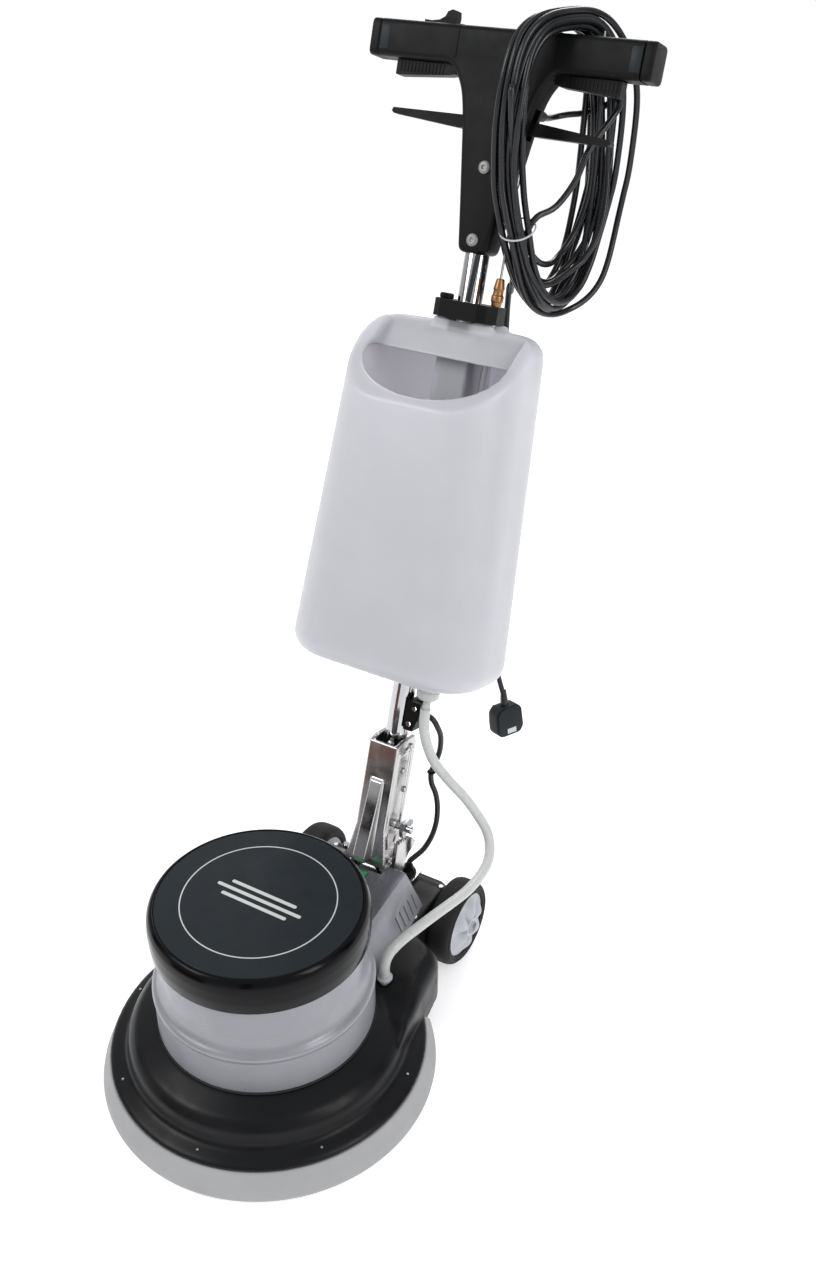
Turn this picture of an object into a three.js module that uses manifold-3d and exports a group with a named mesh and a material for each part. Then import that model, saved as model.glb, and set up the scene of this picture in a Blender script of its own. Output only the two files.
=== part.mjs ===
// Single-disc floor machine with a solution tank on its handle pole.
// Millimetres, +Z up. The origin is the centre of the floor pad's underside; the motor is at -Y and
// the wheels at +Y. The pole leans back, and everything on it is modelled upright in the pole's own
// frame (x across, y towards the back, z along the pole) and tilted as one group.

import * as THREE from 'three';
import { mergeVertices } from 'three/addons/utils/BufferGeometryUtils.js';
import { ConvexGeometry } from 'three/addons/geometries/ConvexGeometry.js';
import Module from 'manifold-3d';

const wasm = await Module();
wasm.setup();

// ---------------------------------------------------------------- driving dimensions

const GAP = 0.3; // clearance between neighbouring pieces

const PAD = { radius: 192, thickness: 20 };
const DRIVER_TOP = 34;
const DECK = { skirtRadius: 204.5, flangeRadius: 208.5, tierRadius: 183, floorGap: 8, top: 102 };
const CARRIAGE = { rearHalf: 97, rearY: 322, bottom: 28, top: 106 };
const BUMPER_RADIUS = 221;
const HOUSING = { radius: 141, neck: 130.5, bottom: 105, top: 238 };
const CAP = { radius: 138.8, rim: 288, plateRadius: 128.4 };

const GEAR = { module: 2.2, sun: 9, planet: 27, ring: 63, bottom: 77, top: 99 };
const PLANET_COUNT = 3;
const PLANET_ORBIT = GEAR.module * (GEAR.sun + GEAR.planet) / 2;

const WHEEL = { radius: 62.5, y: 294, z: 63, inner: 101, outer: 146.5, rim: 47 };
const AXLE = { radius: 8, half: 149.5 };

const LEAN = Math.atan(1 / 3);
const POLE_FOOT_Y = 222.5;
const PIN_HEIGHT = 140; // along the pole from its foot
const POLE = { radius: 16, bore: 13.5, bottom: 166, top: 1120 };

const TANK = { bottom: 459, top: 908, widthBottom: 286, widthTop: 230, front: 131, back: -57 };
const SCOOP = { y: -131, z: 811, rise: 0.6868, lip: 14, halfWidth: 97, depth: 66 };
const VALVE = { x: 42, y: -10 };

const GRIP = { half: 188, centre: 1235, height: 44, depth: 42 };
const LEVER = { height: 1150, pivotX: 38, tipX: 150, width: 14 };
const TRIGGER = { inner: 67, outer: 151, bottom: 1195, top: 1212 };
const BOLT_HEIGHTS = [1012, 1098];

const CORD_RADIUS = 4;
const HOSE_RADIUS = 7.2;
const COIL = { x: 72.7, y: 602, z: 1039, turn: THREE.MathUtils.degToRad(72), halfDepth: 19 };

const PIN = new THREE.Vector2(
  POLE_FOOT_Y + PIN_HEIGHT * Math.sin(LEAN),
  PIN_HEIGHT * Math.cos(LEAN),
);

// ---------------------------------------------------------------- materials

function finish(color, roughness, metalness = 0) {
  return new THREE.MeshStandardMaterial({ color, roughness, metalness });
}

const blackPlastic = finish(0x1d1f20, 0.55);
const glossBlack = finish(0x101112, 0.18);
const slate = finish(0x333c42, 0.6);
const greyPaint = finish(0x85878d, 0.35, 0.3);
const bumperRubber = finish(0xb9b9b6, 0.7);
const blackRubber = finish(0x161616, 0.85);
const lightPlastic = finish(0xc4c7cc, 0.5);
const polishedAluminium = finish(0xc8c6c2, 0.2, 1);
const chrome = finish(0xd9d9da, 0.08, 1);
const steel = finish(0x9a9c9f, 0.35, 1);
const copper = finish(0xa8642e, 0.4, 0.9);
const brass = finish(0xb08040, 0.35, 1);
const tankPlastic = finish(0xdedfe6, 0.45);
const hosePlastic = finish(0xe4e6e2, 0.4);
const padFibre = finish(0x9c3a30, 0.95);

// ---------------------------------------------------------------- mesh and solid helpers

// Merges shared vertices, drops collapsed triangles and turns every face outwards.
function weld(geometry) {
  const bare = geometry.clone();
  bare.deleteAttribute('normal');
  bare.deleteAttribute('uv');
  const merged = mergeVertices(bare, 1e-4);
  const position = merged.attributes.position;
  const index = merged.index.array;
  const kept = [];
  const a = new THREE.Vector3();
  const b = new THREE.Vector3();
  const c = new THREE.Vector3();
  let volume = 0;
  for (let i = 0; i < index.length; i += 3) {
    const [i0, i1, i2] = [index[i], index[i + 1], index[i + 2]];
    if (i0 === i1 || i1 === i2 || i0 === i2) continue;
    kept.push(i0, i1, i2);
    a.fromBufferAttribute(position, i0);
    b.fromBufferAttribute(position, i1);
    c.fromBufferAttribute(position, i2);
    volume += a.dot(b.cross(c));
  }
  if (volume < 0) kept.reverse();
  merged.setIndex(kept);
  return merged;
}

function solid(geometry) {
  const closed = weld(geometry);
  return new wasm.Manifold(new wasm.Mesh({
    numProp: 3,
    vertProperties: new Float32Array(closed.attributes.position.array),
    triVerts: new Uint32Array(closed.index.array),
  }));
}

function meshOf(body) {
  const mesh = body.getMesh();
  const geometry = new THREE.BufferGeometry();
  geometry.setAttribute('position', new THREE.BufferAttribute(mesh.vertProperties, 3));
  geometry.setIndex(new THREE.BufferAttribute(mesh.triVerts, 1));
  return geometry;
}

function join(...bodies) {
  return bodies.reduce((sum, body) => sum.add(body));
}

function cut(body, ...tools) {
  return tools.reduce((rest, tool) => rest.subtract(tool), body);
}

function place(group, name, shape, material) {
  const geometry = shape.getMesh ? meshOf(shape) : weld(shape);
  geometry.computeVertexNormals();
  const mesh = new THREE.Mesh(geometry, material);
  mesh.name = name;
  group.add(mesh);
  return mesh;
}

// A solid of revolution about Z from [radius, height] pairs.
function revolve(profile, segments = 28) {
  const points = profile.map(([radius, height]) => new THREE.Vector2(radius, height));
  return new THREE.LatheGeometry(points, segments).rotateX(Math.PI / 2);
}

function ring(profile, segments) {
  return revolve([...profile, profile[0]], segments);
}

// A box given by its lowest and highest corners.
function block(low, high) {
  const size = high.map((value, i) => value - low[i]);
  const middle = high.map((value, i) => (value + low[i]) / 2);
  return new THREE.BoxGeometry(...size).translate(...middle);
}

function rod(radius, from, to, segments = 16) {
  const start = new THREE.Vector3(...from);
  const end = new THREE.Vector3(...to);
  const along = end.clone().sub(start);
  const turn = new THREE.Quaternion().setFromUnitVectors(
    new THREE.Vector3(0, 1, 0),
    along.clone().normalize(),
  );
  return new THREE.CylinderGeometry(radius, radius, along.length(), segments)
    .applyQuaternion(turn)
    .translate(...start.add(end).multiplyScalar(0.5).toArray());
}

function outline(points) {
  return new THREE.Shape(points.map(([x, y]) => new THREE.Vector2(x, y)));
}

function prism(shape, low, high, curveSegments = 10) {
  return new THREE.ExtrudeGeometry(shape, { depth: high - low, bevelEnabled: false, curveSegments })
    .translate(0, 0, low);
}

// Turns a prism drawn in (x, height) so that its thickness runs along Y.
function acrossY(shape, low, high, curveSegments) {
  return prism(shape, -high, -low, curveSegments).rotateX(Math.PI / 2);
}

// Turns a prism drawn in (depth, height) so that its thickness runs along X.
function acrossX(shape, low, high, curveSegments) {
  return prism(shape, low, high, curveSegments).rotateX(Math.PI / 2).rotateZ(Math.PI / 2);
}

function sweep(points, radius, steps, sides = 8) {
  const section = new THREE.Shape();
  for (let i = 0; i < sides; i += 1) {
    const angle = 2 * Math.PI * i / sides;
    const corner = [radius * Math.cos(angle), radius * Math.sin(angle)];
    if (i === 0) section.moveTo(...corner);
    else section.lineTo(...corner);
  }
  const path = new THREE.CatmullRomCurve3(points.map((p) => new THREE.Vector3(...p)));
  return new THREE.ExtrudeGeometry(section, { steps, extrudePath: path, bevelEnabled: false });
}

// A closed skin over rings of equal point count, with fan caps at both ends.
function loft(rings) {
  const count = rings[0].length;
  const positions = rings.flat().flatMap((p) => p.toArray());
  const index = [];
  for (let level = 0; level < rings.length - 1; level += 1) {
    for (let i = 0; i < count; i += 1) {
      const j = (i + 1) % count;
      const base = level * count;
      index.push(base + i, base + j, base + count + j);
      index.push(base + i, base + count + j, base + count + i);
    }
  }
  const last = (rings.length - 1) * count;
  for (let i = 1; i < count - 1; i += 1) {
    index.push(0, i + 1, i);
    index.push(last, last + i, last + i + 1);
  }
  const geometry = new THREE.BufferGeometry();
  geometry.setAttribute('position', new THREE.Float32BufferAttribute(positions, 3));
  geometry.setIndex(index);
  return geometry;
}

function mirrored(points) {
  return [...points, ...points.map(([x, y]) => [-x, y]).reverse()];
}

// ---------------------------------------------------------------- gears

// Straight-sided teeth about a pitch circle. reach is how far the crest stands off that circle and
// depth how far the root lies on its other side; both change sign for internal teeth.
function gearOutline(teeth, reach, depth, share) {
  const pitch = GEAR.module * teeth / 2;
  const step = 2 * Math.PI / teeth;
  const points = [];
  for (let i = 0; i < teeth; i += 1) {
    const centre = i * step;
    const corners = [
      [pitch - depth, -0.5 * (1 - 0.32 * share)],
      [pitch + reach, -0.24 * share],
      [pitch + reach, 0.24 * share],
      [pitch - depth, 0.5 * (1 - 0.32 * share)],
    ];
    for (const [radius, offset] of corners) {
      const angle = centre + offset * step * 0.62;
      points.push([radius * Math.cos(angle), radius * Math.sin(angle)]);
    }
  }
  return points;
}

function gearSolid(teeth, bottom, top) {
  return solid(prism(outline(gearOutline(teeth, 1.7, 2.3, 0.8)), bottom, top));
}

// ---------------------------------------------------------------- deck and bumper

function carriagePlan(grow = 0) {
  const side = [
    [120, 20], [178, 28], [153.5, 180], [149, 191], [138, 198],
    [112, 206], [99, 216], [CARRIAGE.rearHalf, 228], [CARRIAGE.rearHalf, 308], [94, 317],
    [85, CARRIAGE.rearY],
  ];
  return outline(mirrored(side.map(([x, y]) => [x + grow, y])));
}

function deckHousing() {
  const dish = solid(revolve([
    [0, DECK.floorGap], [DECK.skirtRadius, DECK.floorGap], [DECK.skirtRadius, 43.6],
    [DECK.flangeRadius, 44.4], [DECK.flangeRadius, 47], [206, 50], [186, 58],
    [DECK.tierRadius, 61], [179.5, 82], [173, 88.5], [141, DECK.top], [0, DECK.top],
  ], 36));
  const sideProfile = outline([
    [20, CARRIAGE.bottom], [20, 84], [95, 102], [110, CARRIAGE.top],
    [316, CARRIAGE.top], [CARRIAGE.rearY + 1, 99], [CARRIAGE.rearY + 1, CARRIAGE.bottom],
  ]);
  const carriage = solid(prism(carriagePlan(), CARRIAGE.bottom, CARRIAGE.top + 1))
    .intersect(solid(acrossX(sideProfile, -200, 200)));
  const dishHollow = solid(revolve([
    [0, DECK.floorGap - 1], [200.5, DECK.floorGap - 1], [200.5, 40.5], [181, 51.5],
    [178.5, 56], [175, 79], [169, 84], [92, 96], [0, 96],
  ], 36));
  const carriageHollow = solid(prism(outline(mirrored([
    [110, 150], [146, 178], [142, 187], [108, 201], [94, 214], [93, 228], [93, 305], [82, 317],
  ])), CARRIAGE.bottom - 1, CARRIAGE.top - 6));
  const motorWell = solid(rod(84.2, [0, 0, 90], [0, 0, 110], 28));
  const motorSeat = solid(rod(143.4, [0, 0, DECK.top - 0.1], [0, 0, 120], 28));
  const axleBore = solid(rod(AXLE.radius + 0.4, [-130, WHEEL.y, WHEEL.z], [130, WHEEL.y, WHEEL.z]));
  const hoseBore = solid(rod(7.2, [110, 114, 60], [110, 114, 112]));
  return cut(
    join(dish, carriage), dishHollow, carriageHollow, motorWell, motorSeat, axleBore, hoseBore,
  );
}

function bumperRing() {
  const band = solid(ring([
    [205, 3], [216, 2], [220.2, 5], [BUMPER_RADIUS, 10], [217, 24], [212, 37],
    [209.5, 43.2], [205, 43.2],
  ], 36));
  return cut(band, solid(prism(carriagePlan(0.8), 0, 60)));
}

// ---------------------------------------------------------------- motor

function motorGasket() {
  return ring([[134, 102.4], [142, 102.4], [142, 104.7], [134, 104.7]]);
}

function motorHousing() {
  return ring([
    [HOUSING.radius, HOUSING.bottom], [HOUSING.radius, 158], [142.4, 162], [140.5, 167],
    [136, 171], [132.6, 177], [131, 188], [HOUSING.neck, HOUSING.top], [126.5, HOUSING.top],
    [126.5, 233], [28, 233], [28, 243], [20.3, 243], [20.3, 228.5], [122, 228.5], [126.5, 224],
    [126.5, 188], [129.5, 174], [136, 160], [136, HOUSING.bottom],
  ]);
}

function motorCap() {
  return revolve([
    [0, 283], [124, 283], [131, 279.5], [134.4, 272.5], [134.8, 256], [134.8, 238.5],
    [137.3, 238.5], [CAP.radius, 256], [CAP.radius, 272], [137.6, 280], [135, 285.4],
    [131.4, CAP.rim], [128.7, CAP.rim], [128.7, 286], [0, 286],
  ]);
}

function stator() {
  return ring([
    [64, 150], [70, 150], [72, 138], [104, 138], [106, 150], [126.2, 150], [126.2, 208],
    [106, 208], [104, 220], [72, 220], [70, 208], [64, 208],
  ]);
}

function rotorShaft() {
  const core = solid(revolve([
    [0, 99], [9, 99], [12, 102], [12, 148], [62.5, 152], [62.5, 206], [12, 210], [12, 264],
    [10, 266], [0, 266],
  ], 24));
  return core.add(gearSolid(GEAR.sun, GEAR.bottom, GEAR.top + 1));
}

function coolingFan() {
  const bladeCount = 6;
  let fan = solid(ring([[12.4, 246], [24, 246], [24, 262], [12.4, 262]], 24));
  fan = fan.add(solid(ring([[23, 246], [92, 246], [92, 248.5], [23, 248.5]], 24)));
  for (let i = 0; i < bladeCount; i += 1) {
    const blade = block([22, -1.5, 248], [90, 1.5, 268]).rotateZ(2 * Math.PI * i / bladeCount);
    fan = fan.add(solid(blade));
  }
  return fan;
}

function bearing(bottom) {
  return ring([[12.4, bottom], [20, bottom], [20, bottom + 12], [12.4, bottom + 12]], 24);
}

function gearboxHousing() {
  const casing = solid(ring([
    [78, 72], [83.5, 72], [83.5, 102.3], [127, 102.3], [127, 107], [28, 107], [28, 117],
    [20.3, 117], [20.3, 103], [78, 103],
  ]));
  const centre = new THREE.Vector2();
  const teeth = gearOutline(GEAR.ring, -1.7, -2.3, 0.8).map(([x, y]) => (
    new THREE.Vector2(x, y).rotateAround(centre, Math.PI / GEAR.ring)
  ));
  const gearBlank = new THREE.Shape();
  gearBlank.absarc(0, 0, 80, 0, 2 * Math.PI);
  gearBlank.holes.push(new THREE.Path(teeth));
  return casing.add(solid(prism(gearBlank, GEAR.bottom - 1, GEAR.top + 1, 18)));
}

function planetGear() {
  return cut(gearSolid(GEAR.planet, GEAR.bottom, GEAR.top), solid(rod(5.4, [0, 0, 70], [0, 0, 110])));
}

function planetPlace(i) {
  const angle = 2 * Math.PI * i / PLANET_COUNT;
  return [PLANET_ORBIT * Math.cos(angle), PLANET_ORBIT * Math.sin(angle)];
}

function planetCarrier() {
  let carrier = solid(revolve([[0, 40], [15, 40], [16, 41], [16, 66], [64, 66], [64, 75], [0, 75]], 24));
  for (let i = 0; i < PLANET_COUNT; i += 1) {
    const [x, y] = planetPlace(i);
    carrier = carrier.add(solid(rod(5, [x, y, 74], [x, y, 98])));
  }
  return carrier;
}

function padDriver() {
  return revolve([
    [0, 20.4], [185, 20.4], [188, 23], [188, 30], [180, DRIVER_TOP], [46, 38], [40, 50],
    [16.4, 50], [16.4, 39.6], [0, 39.6],
  ]);
}

function floorPad() {
  const { radius, thickness } = PAD;
  return revolve([
    [0, 0], [radius - 2, 0], [radius, 3], [radius, thickness - 3], [radius - 2, thickness],
    [0, thickness],
  ]);
}

// ---------------------------------------------------------------- rear cover and hinge base

function coverHull(inset, bottom) {
  const half = [
    [99 - inset, 108, bottom], [96 - inset, 186, bottom], [86 - inset, 258 - inset, bottom],
    [76 - inset, 100, 166 - inset], [72 - inset, 135, 165 - inset], [63 - inset, 250 - inset, 163 - inset],
  ];
  const points = half.flatMap(([x, y, z]) => [new THREE.Vector3(x, y, z), new THREE.Vector3(-x, y, z)]);
  return solid(new ConvexGeometry(points));
}

function rearCover() {
  const motorClearance = solid(rod(143.4, [0, 0, 90], [0, 0, 200], 28));
  const poleNotch = solid(block([-35, 229, 90], [35, 280, 200]));
  return cut(coverHull(0, CARRIAGE.top + GAP), coverHull(3, CARRIAGE.top - 2), motorClearance, poleNotch);
}

function hingeBase() {
  const plateBottom = CARRIAGE.top + GAP;
  const plateTop = plateBottom + 6;
  const plate = solid(block([-52, 261, plateBottom], [52, 316, plateTop]));
  const lugShape = outline([[PIN.x - 17, plateTop - 1], [PIN.x + 22, plateTop - 1], [PIN.x + 15, PIN.y + 8]]);
  const lug = solid(acrossX(lugShape, -15.8, 15.8));
  const boss = solid(rod(16, [-15.8, PIN.x, PIN.y], [15.8, PIN.x, PIN.y], 28));
  const teeth = 9;
  const arc = [[PIN.x - 4, plateTop - 1], [PIN.x - 10, PIN.y + 10]];
  for (let i = 0; i <= teeth; i += 1) {
    const angle = THREE.MathUtils.degToRad(2 + i * 6.4);
    const notch = THREE.MathUtils.degToRad(2 + i * 6.4 + 4.4);
    arc.push([PIN.x + 58 * Math.sin(angle), PIN.y + 58 * Math.cos(angle)]);
    arc.push([PIN.x + 53 * Math.sin(notch), PIN.y + 53 * Math.cos(notch)]);
  }
  arc.push([298, 152], [286, 138], [284, plateTop - 1]);
  const sector = solid(acrossX(outline(arc), 33, 39));
  const pinBore = solid(rod(8.3, [-60, PIN.x, PIN.y], [60, PIN.x, PIN.y]));
  return cut(join(plate, lug, boss, sector), pinBore);
}

function hoseInlet() {
  return ring([
    [5, 96], [6.8, 96], [6.8, 106.4], [10.5, 106.4], [10.5, 109], [6.8, 111.2], [5, 111.2],
  ], 16);
}

// ---------------------------------------------------------------- wheels

function wheelAxle() {
  const { y, z } = WHEEL;
  return rod(AXLE.radius, [-AXLE.half, y, z], [AXLE.half, y, z]);
}

function wheelProfile(points, side) {
  return ring(points, 24)
    .rotateY(Math.PI / 2)
    .scale(side, 1, 1)
    .translate(0, WHEEL.y, WHEEL.z);
}

function tyre(side) {
  const { radius, inner, rim } = WHEEL;
  return wheelProfile([
    [rim + GAP, inner], [radius - 4, inner], [radius - 0.5, inner + 5], [radius, inner + 18],
    [radius - 0.5, inner + 33], [radius - 4, inner + 38], [rim + GAP, inner + 38],
  ], side);
}

function wheelHub(side) {
  const { inner, outer, rim } = WHEEL;
  return wheelProfile([
    [AXLE.radius + 0.4, inner], [rim - 4, inner], [rim, inner + 3], [rim, inner + 35],
    [40, outer - 3.5], [20, outer], [AXLE.radius + 0.4, outer],
  ], side);
}

// ---------------------------------------------------------------- pole and its bracket

function poleBracket() {
  const plateShape = outline(mirrored([[31, 158], [31, 166], [23, 212], [23, 340]]));
  const frontPlate = solid(acrossY(plateShape, -34, -28));
  const cheekShape = outline([
    [-33, 158], [-33, 340], [-26, 340], [-26, 345], [14, 348], [20, 338], [20, 170],
  ]);
  cheekShape.absarc(0, PIN_HEIGHT, 18, 0, -Math.PI, true);
  const cheeks = [-23, 16.6].map((x) => solid(acrossX(cheekShape, x, x + 6.4)));
  const ribShape = outline([[-33, 290], [-38, 284], [-55, 174], [-51, 166], [-33, 166]]);
  const rib = solid(acrossX(ribShape, -9.5, 9.5));
  const web = solid(block([-8, -29, 172], [8, -16.4, 335]));
  const pawlBoss = solid(rod(6, [22, 0, 216], [32.4, 0, 216]));
  const pinBore = solid(rod(8.3, [-60, 0, PIN_HEIGHT], [60, 0, PIN_HEIGHT]));
  return cut(join(frontPlate, ...cheeks, rib, web, pawlBoss), pinBore);
}

function tiltPawl() {
  const arm = outline([
    [-6, 222], [8, 226], [20, 222], [22, 216], [8, 208], [3, 199.5], [-2, 199], [-8, 210],
  ]);
  return solid(acrossX(arm, 33, 39));
}

function poleTube() {
  const { radius, bore, bottom, top } = POLE;
  const tube = solid(ring([[bore, bottom], [radius, bottom], [radius, top], [bore, top]], 24));
  const boltBores = BOLT_HEIGHTS.map((z) => solid(rod(4.4, [0, -30, z], [0, 30, z], 16)));
  return cut(tube, ...boltBores);
}

// ---------------------------------------------------------------- tank, collar, valve

function poleBore(clearance, bottom, top) {
  return solid(rod(POLE.radius + clearance, [0, 0, bottom], [0, 0, top], 32));
}

// One level of the tank: a rounded rectangle that narrows towards the top.
function tankRing(height, inset) {
  const share = (height - TANK.bottom) / (TANK.top - TANK.bottom);
  const half = THREE.MathUtils.lerp(TANK.widthBottom, TANK.widthTop, share) / 2 - inset;
  const front = -TANK.front + inset;
  const back = -TANK.back - inset;
  const corner = 76 - inset;
  const centres = [[half - corner, back - corner, 0], [corner - half, back - corner, 1],
    [corner - half, front + corner, 2], [half - corner, front + corner, 3]];
  const points = [];
  for (const [x, y, quarter] of centres) {
    for (let i = 0; i <= 5; i += 1) {
      const angle = Math.PI / 2 * (quarter + i / 5);
      points.push(new THREE.Vector3(x + corner * Math.cos(angle), y + corner * Math.sin(angle), height));
    }
  }
  return points;
}

function tankLoft(wall) {
  const edge = 24;
  const low = TANK.bottom + wall;
  const high = TANK.top - wall;
  const levels = [];
  for (const turn of [0, 1 / 3, 2 / 3, 1]) {
    const angle = turn * Math.PI / 2;
    levels.push([low + edge * (1 - Math.cos(angle)), edge * (1 - Math.sin(angle))]);
  }
  for (const [height, inset] of [...levels].reverse()) {
    levels.push([high - (height - low), inset]);
  }
  return solid(loft(levels.map(([height, inset]) => tankRing(height, wall + inset))));
}

// A frame on the oblique face that cuts off the tank's top front corner: x across, y up the face.
function scoopFrame() {
  const { y, z, rise } = SCOOP;
  const run = Math.sqrt(1 - rise * rise);
  return new THREE.Matrix4().makeBasis(
    new THREE.Vector3(1, 0, 0),
    new THREE.Vector3(0, run, rise),
    new THREE.Vector3(0, -rise, run),
  ).setPosition(0, y, z);
}

// Everything in front of the oblique face, which depth moves into the tank.
function scoopTool(depth) {
  return solid(block([-200, -120, -depth], [200, 260, 120]).applyMatrix4(scoopFrame()));
}

// The mouth: a U inside the oblique face's rim, down to the slanted skin behind it.
function mouthTool() {
  const { lip, halfWidth, depth } = SCOOP;
  const plan = new THREE.Shape();
  plan.moveTo(-halfWidth, 190);
  plan.lineTo(-halfWidth, lip + depth);
  plan.absellipse(0, lip + depth, halfWidth, depth, Math.PI, 2 * Math.PI, false);
  plan.lineTo(halfWidth, 190);
  const slant = outline([
    [-12, 945], [-12, 912], [-15, 908], [-45, 868], [-87, 812], [-87, 760], [-200, 760],
    [-200, 945],
  ]);
  return solid(prism(plan, -70, 60, 12).applyMatrix4(scoopFrame()))
    .intersect(solid(acrossX(slant, -120, 120)));
}

function tankBody() {
  const wall = 4;
  const neck = solid(acrossY(outline([[-40, 903], [48, 903], [48, 915], [-38, 915]]), -20, 30));
  const poleRecess = solid(block([-19, -19, 440], [19, 80, 930]));
  const outer = cut(join(cut(tankLoft(0), scoopTool(0), mouthTool()), neck), poleRecess);
  const behindSlant = outline([[-10, 920], [-10.5, 908], [-40.5, 866], [-220, 866], [-220, 920]]);
  const channel = solid(block([-23, -23, 440], [23, 80, 930]));
  const skin = solid(acrossX(behindSlant, -200, 200));
  const hollow = cut(tankLoft(wall), skin, channel, scoopTool(wall));
  const sleeveBore = solid(rod(4.5, [VALVE.x, VALVE.y, 890], [VALVE.x, VALVE.y, 930], 16));
  const valveBore = solid(rod(12, [VALVE.x, VALVE.y, 450], [VALVE.x, VALVE.y, 470]));
  const boss = solid(rod(9, [VALVE.x, VALVE.y, 900], [VALVE.x, VALVE.y, 915]));
  return cut(join(cut(outer, hollow), boss), sleeveBore, valveBore);
}

function tankCollar() {
  const plan = outline([
    [26, -31], [38, -27], [48, -14], [46, 14], [28, 31], [-28, 31], [-38, 16], [-41, -10],
    [-36, -25], [-26, -31],
  ]);
  const sleeveBore = solid(rod(4.5, [VALVE.x, VALVE.y, 900], [VALVE.x, VALVE.y, 950], 16));
  const knob = solid(rod(8, [-27, -12, 936], [-27, -12, 943], 16));
  return cut(join(solid(prism(plan, 915.3, 937)), knob), poleBore(0.4, 900, 950), sleeveBore);
}

function tankBracket() {
  const shape = outline([
    [-34, 429], [20, 429], [24, 433], [24, 458.6], [-40, 458.6], [-43, 452], [-41, 434],
  ]);
  return cut(solid(acrossY(shape, -27, 27)), poleBore(0.4, 420, 470));
}

function connectorBox() {
  const shape = outline([[15, 404], [34.2, 404], [34.2, 378], [29, 362], [15, 362]]);
  return cut(solid(acrossY(shape, -14, 20)), poleBore(0.4, 350, 420));
}

function waterValve() {
  const { x, y } = VALVE;
  const body = solid(revolve([
    [0, 414], [13, 414], [16.5, 417], [16.5, 436], [15, 442], [15, 458.6], [11.6, 458.6],
    [11.6, 468], [0, 468],
  ], 24).translate(x, y, 0));
  const barb = solid(rod(4.6, [x, y, 396], [x, y, 416], 16));
  const bore = solid(rod(5.2, [x, y, 434], [x, y, 480], 16));
  return cut(join(body, barb), bore);
}

function valveCable() {
  const { x, y } = VALVE;
  const plunger = solid(rod(4.8, [x, y, 436], [x, y, 462], 12));
  const sleeve = solid(rod(4, [x, y, 460], [x, y, 932], 12));
  const wire = solid(rod(1.6, [x, y, 931], [x, y, 1118], 10));
  return join(plunger, sleeve, wire);
}

function brassFerrule() {
  return ring([[2.2, 937.4], [6.6, 937.4], [7.6, 944], [7.6, 956], [5.8, 964], [4.8, 972], [2.2, 972]], 16)
    .translate(VALVE.x, VALVE.y, 0);
}

// ---------------------------------------------------------------- handle head

function headOutline() {
  const low = GRIP.centre - GRIP.height / 2;
  const high = GRIP.centre + GRIP.height / 2;
  const end = GRIP.half - 14;
  return outline(mirrored([
    [20, 996], [28, 1050], [42, 1141], [47, 1165], [52, 1186], [60, 1202], [70, low],
    [end, low], [end, high], [60, high],
  ]));
}

function headSolid(depth, bevel, offset) {
  return solid(new THREE.ExtrudeGeometry(headOutline(), {
    depth: depth - 2 * bevel,
    bevelThickness: bevel,
    bevelSize: bevel,
    bevelOffset: offset - bevel,
    bevelSegments: 2,
    curveSegments: 4,
  }).translate(0, 0, bevel - depth / 2).rotateX(Math.PI / 2));
}

// Openings that both half shells share: the pole, bolts, lever slots, triggers and safety lever.
function headOpenings() {
  const tools = [poleBore(0.4, 980, POLE.top + 1)];
  for (const z of BOLT_HEIGHTS) tools.push(solid(rod(4.4, [0, -40, z], [0, 40, z], 16)));
  const { width, height } = LEVER;
  const slotHalf = width / 2 + 0.8;
  for (const side of [-1, 1]) {
    const inner = side * 24;
    const outer = side * 70;
    tools.push(solid(block(
      [Math.min(inner, outer), -slotHalf, height - 14],
      [Math.max(inner, outer), slotHalf, height + 26],
    )));
    const near = side * (TRIGGER.inner - 2);
    const far = side * (TRIGGER.outer + 2);
    tools.push(solid(block([Math.min(near, far), -9.5, 1205], [Math.max(near, far), 9.5, 1226])));
  }
  tools.push(solid(block([-98, -6.5, 1240], [-76, 6.5, 1262])));
  return tools;
}

function headShell(front) {
  const whole = headSolid(GRIP.depth, 7, 0);
  const inside = headSolid(GRIP.depth - 7, 5, -3.5);
  const stemPlug = solid(block([-60, -60, 990], [60, 60, 1040]));
  const half = front
    ? block([-250, -60, 980], [250, -GAP / 2, 1300])
    : block([-250, GAP / 2, 980], [250, 60, 1300]);
  return cut(whole.intersect(solid(half)), inside.subtract(stemPlug), ...headOpenings());
}

function gripCap(side) {
  const low = GRIP.centre - GRIP.height / 2;
  const profile = new THREE.Shape();
  const [w, h, r] = [GRIP.depth / 2, GRIP.height, 9];
  profile.moveTo(-w + r, low);
  profile.lineTo(w - r, low);
  profile.absarc(w - r, low + r, r, -Math.PI / 2, 0);
  profile.lineTo(w, low + h - r);
  profile.absarc(w - r, low + h - r, r, 0, Math.PI / 2);
  profile.lineTo(-w + r, low + h);
  profile.absarc(-w + r, low + h - r, r, Math.PI / 2, Math.PI);
  profile.lineTo(-w, low + r);
  profile.absarc(-w + r, low + r, r, Math.PI, 1.5 * Math.PI);
  const start = GRIP.half - 14 + GAP;
  return solid(acrossX(profile, start, GRIP.half, 3).scale(side, 1, 1));
}

// A flat lever that pivots inside the head and points out under the grip, its tip lowered by droop.
function headLever(side, droop) {
  const { height, pivotX, tipX, width } = LEVER;
  const arm = outline([
    [pivotX - 6, height - 7], [pivotX + 14, height - 9], [tipX - 3, height - 1 - droop],
    [tipX, height + 2 - droop], [tipX - 2, height + 6 - droop], [pivotX + 16, height + 6.5],
    [pivotX - 6, height + 7],
  ]);
  return solid(acrossY(arm, -width / 2, width / 2).scale(side, 1, 1));
}

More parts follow.
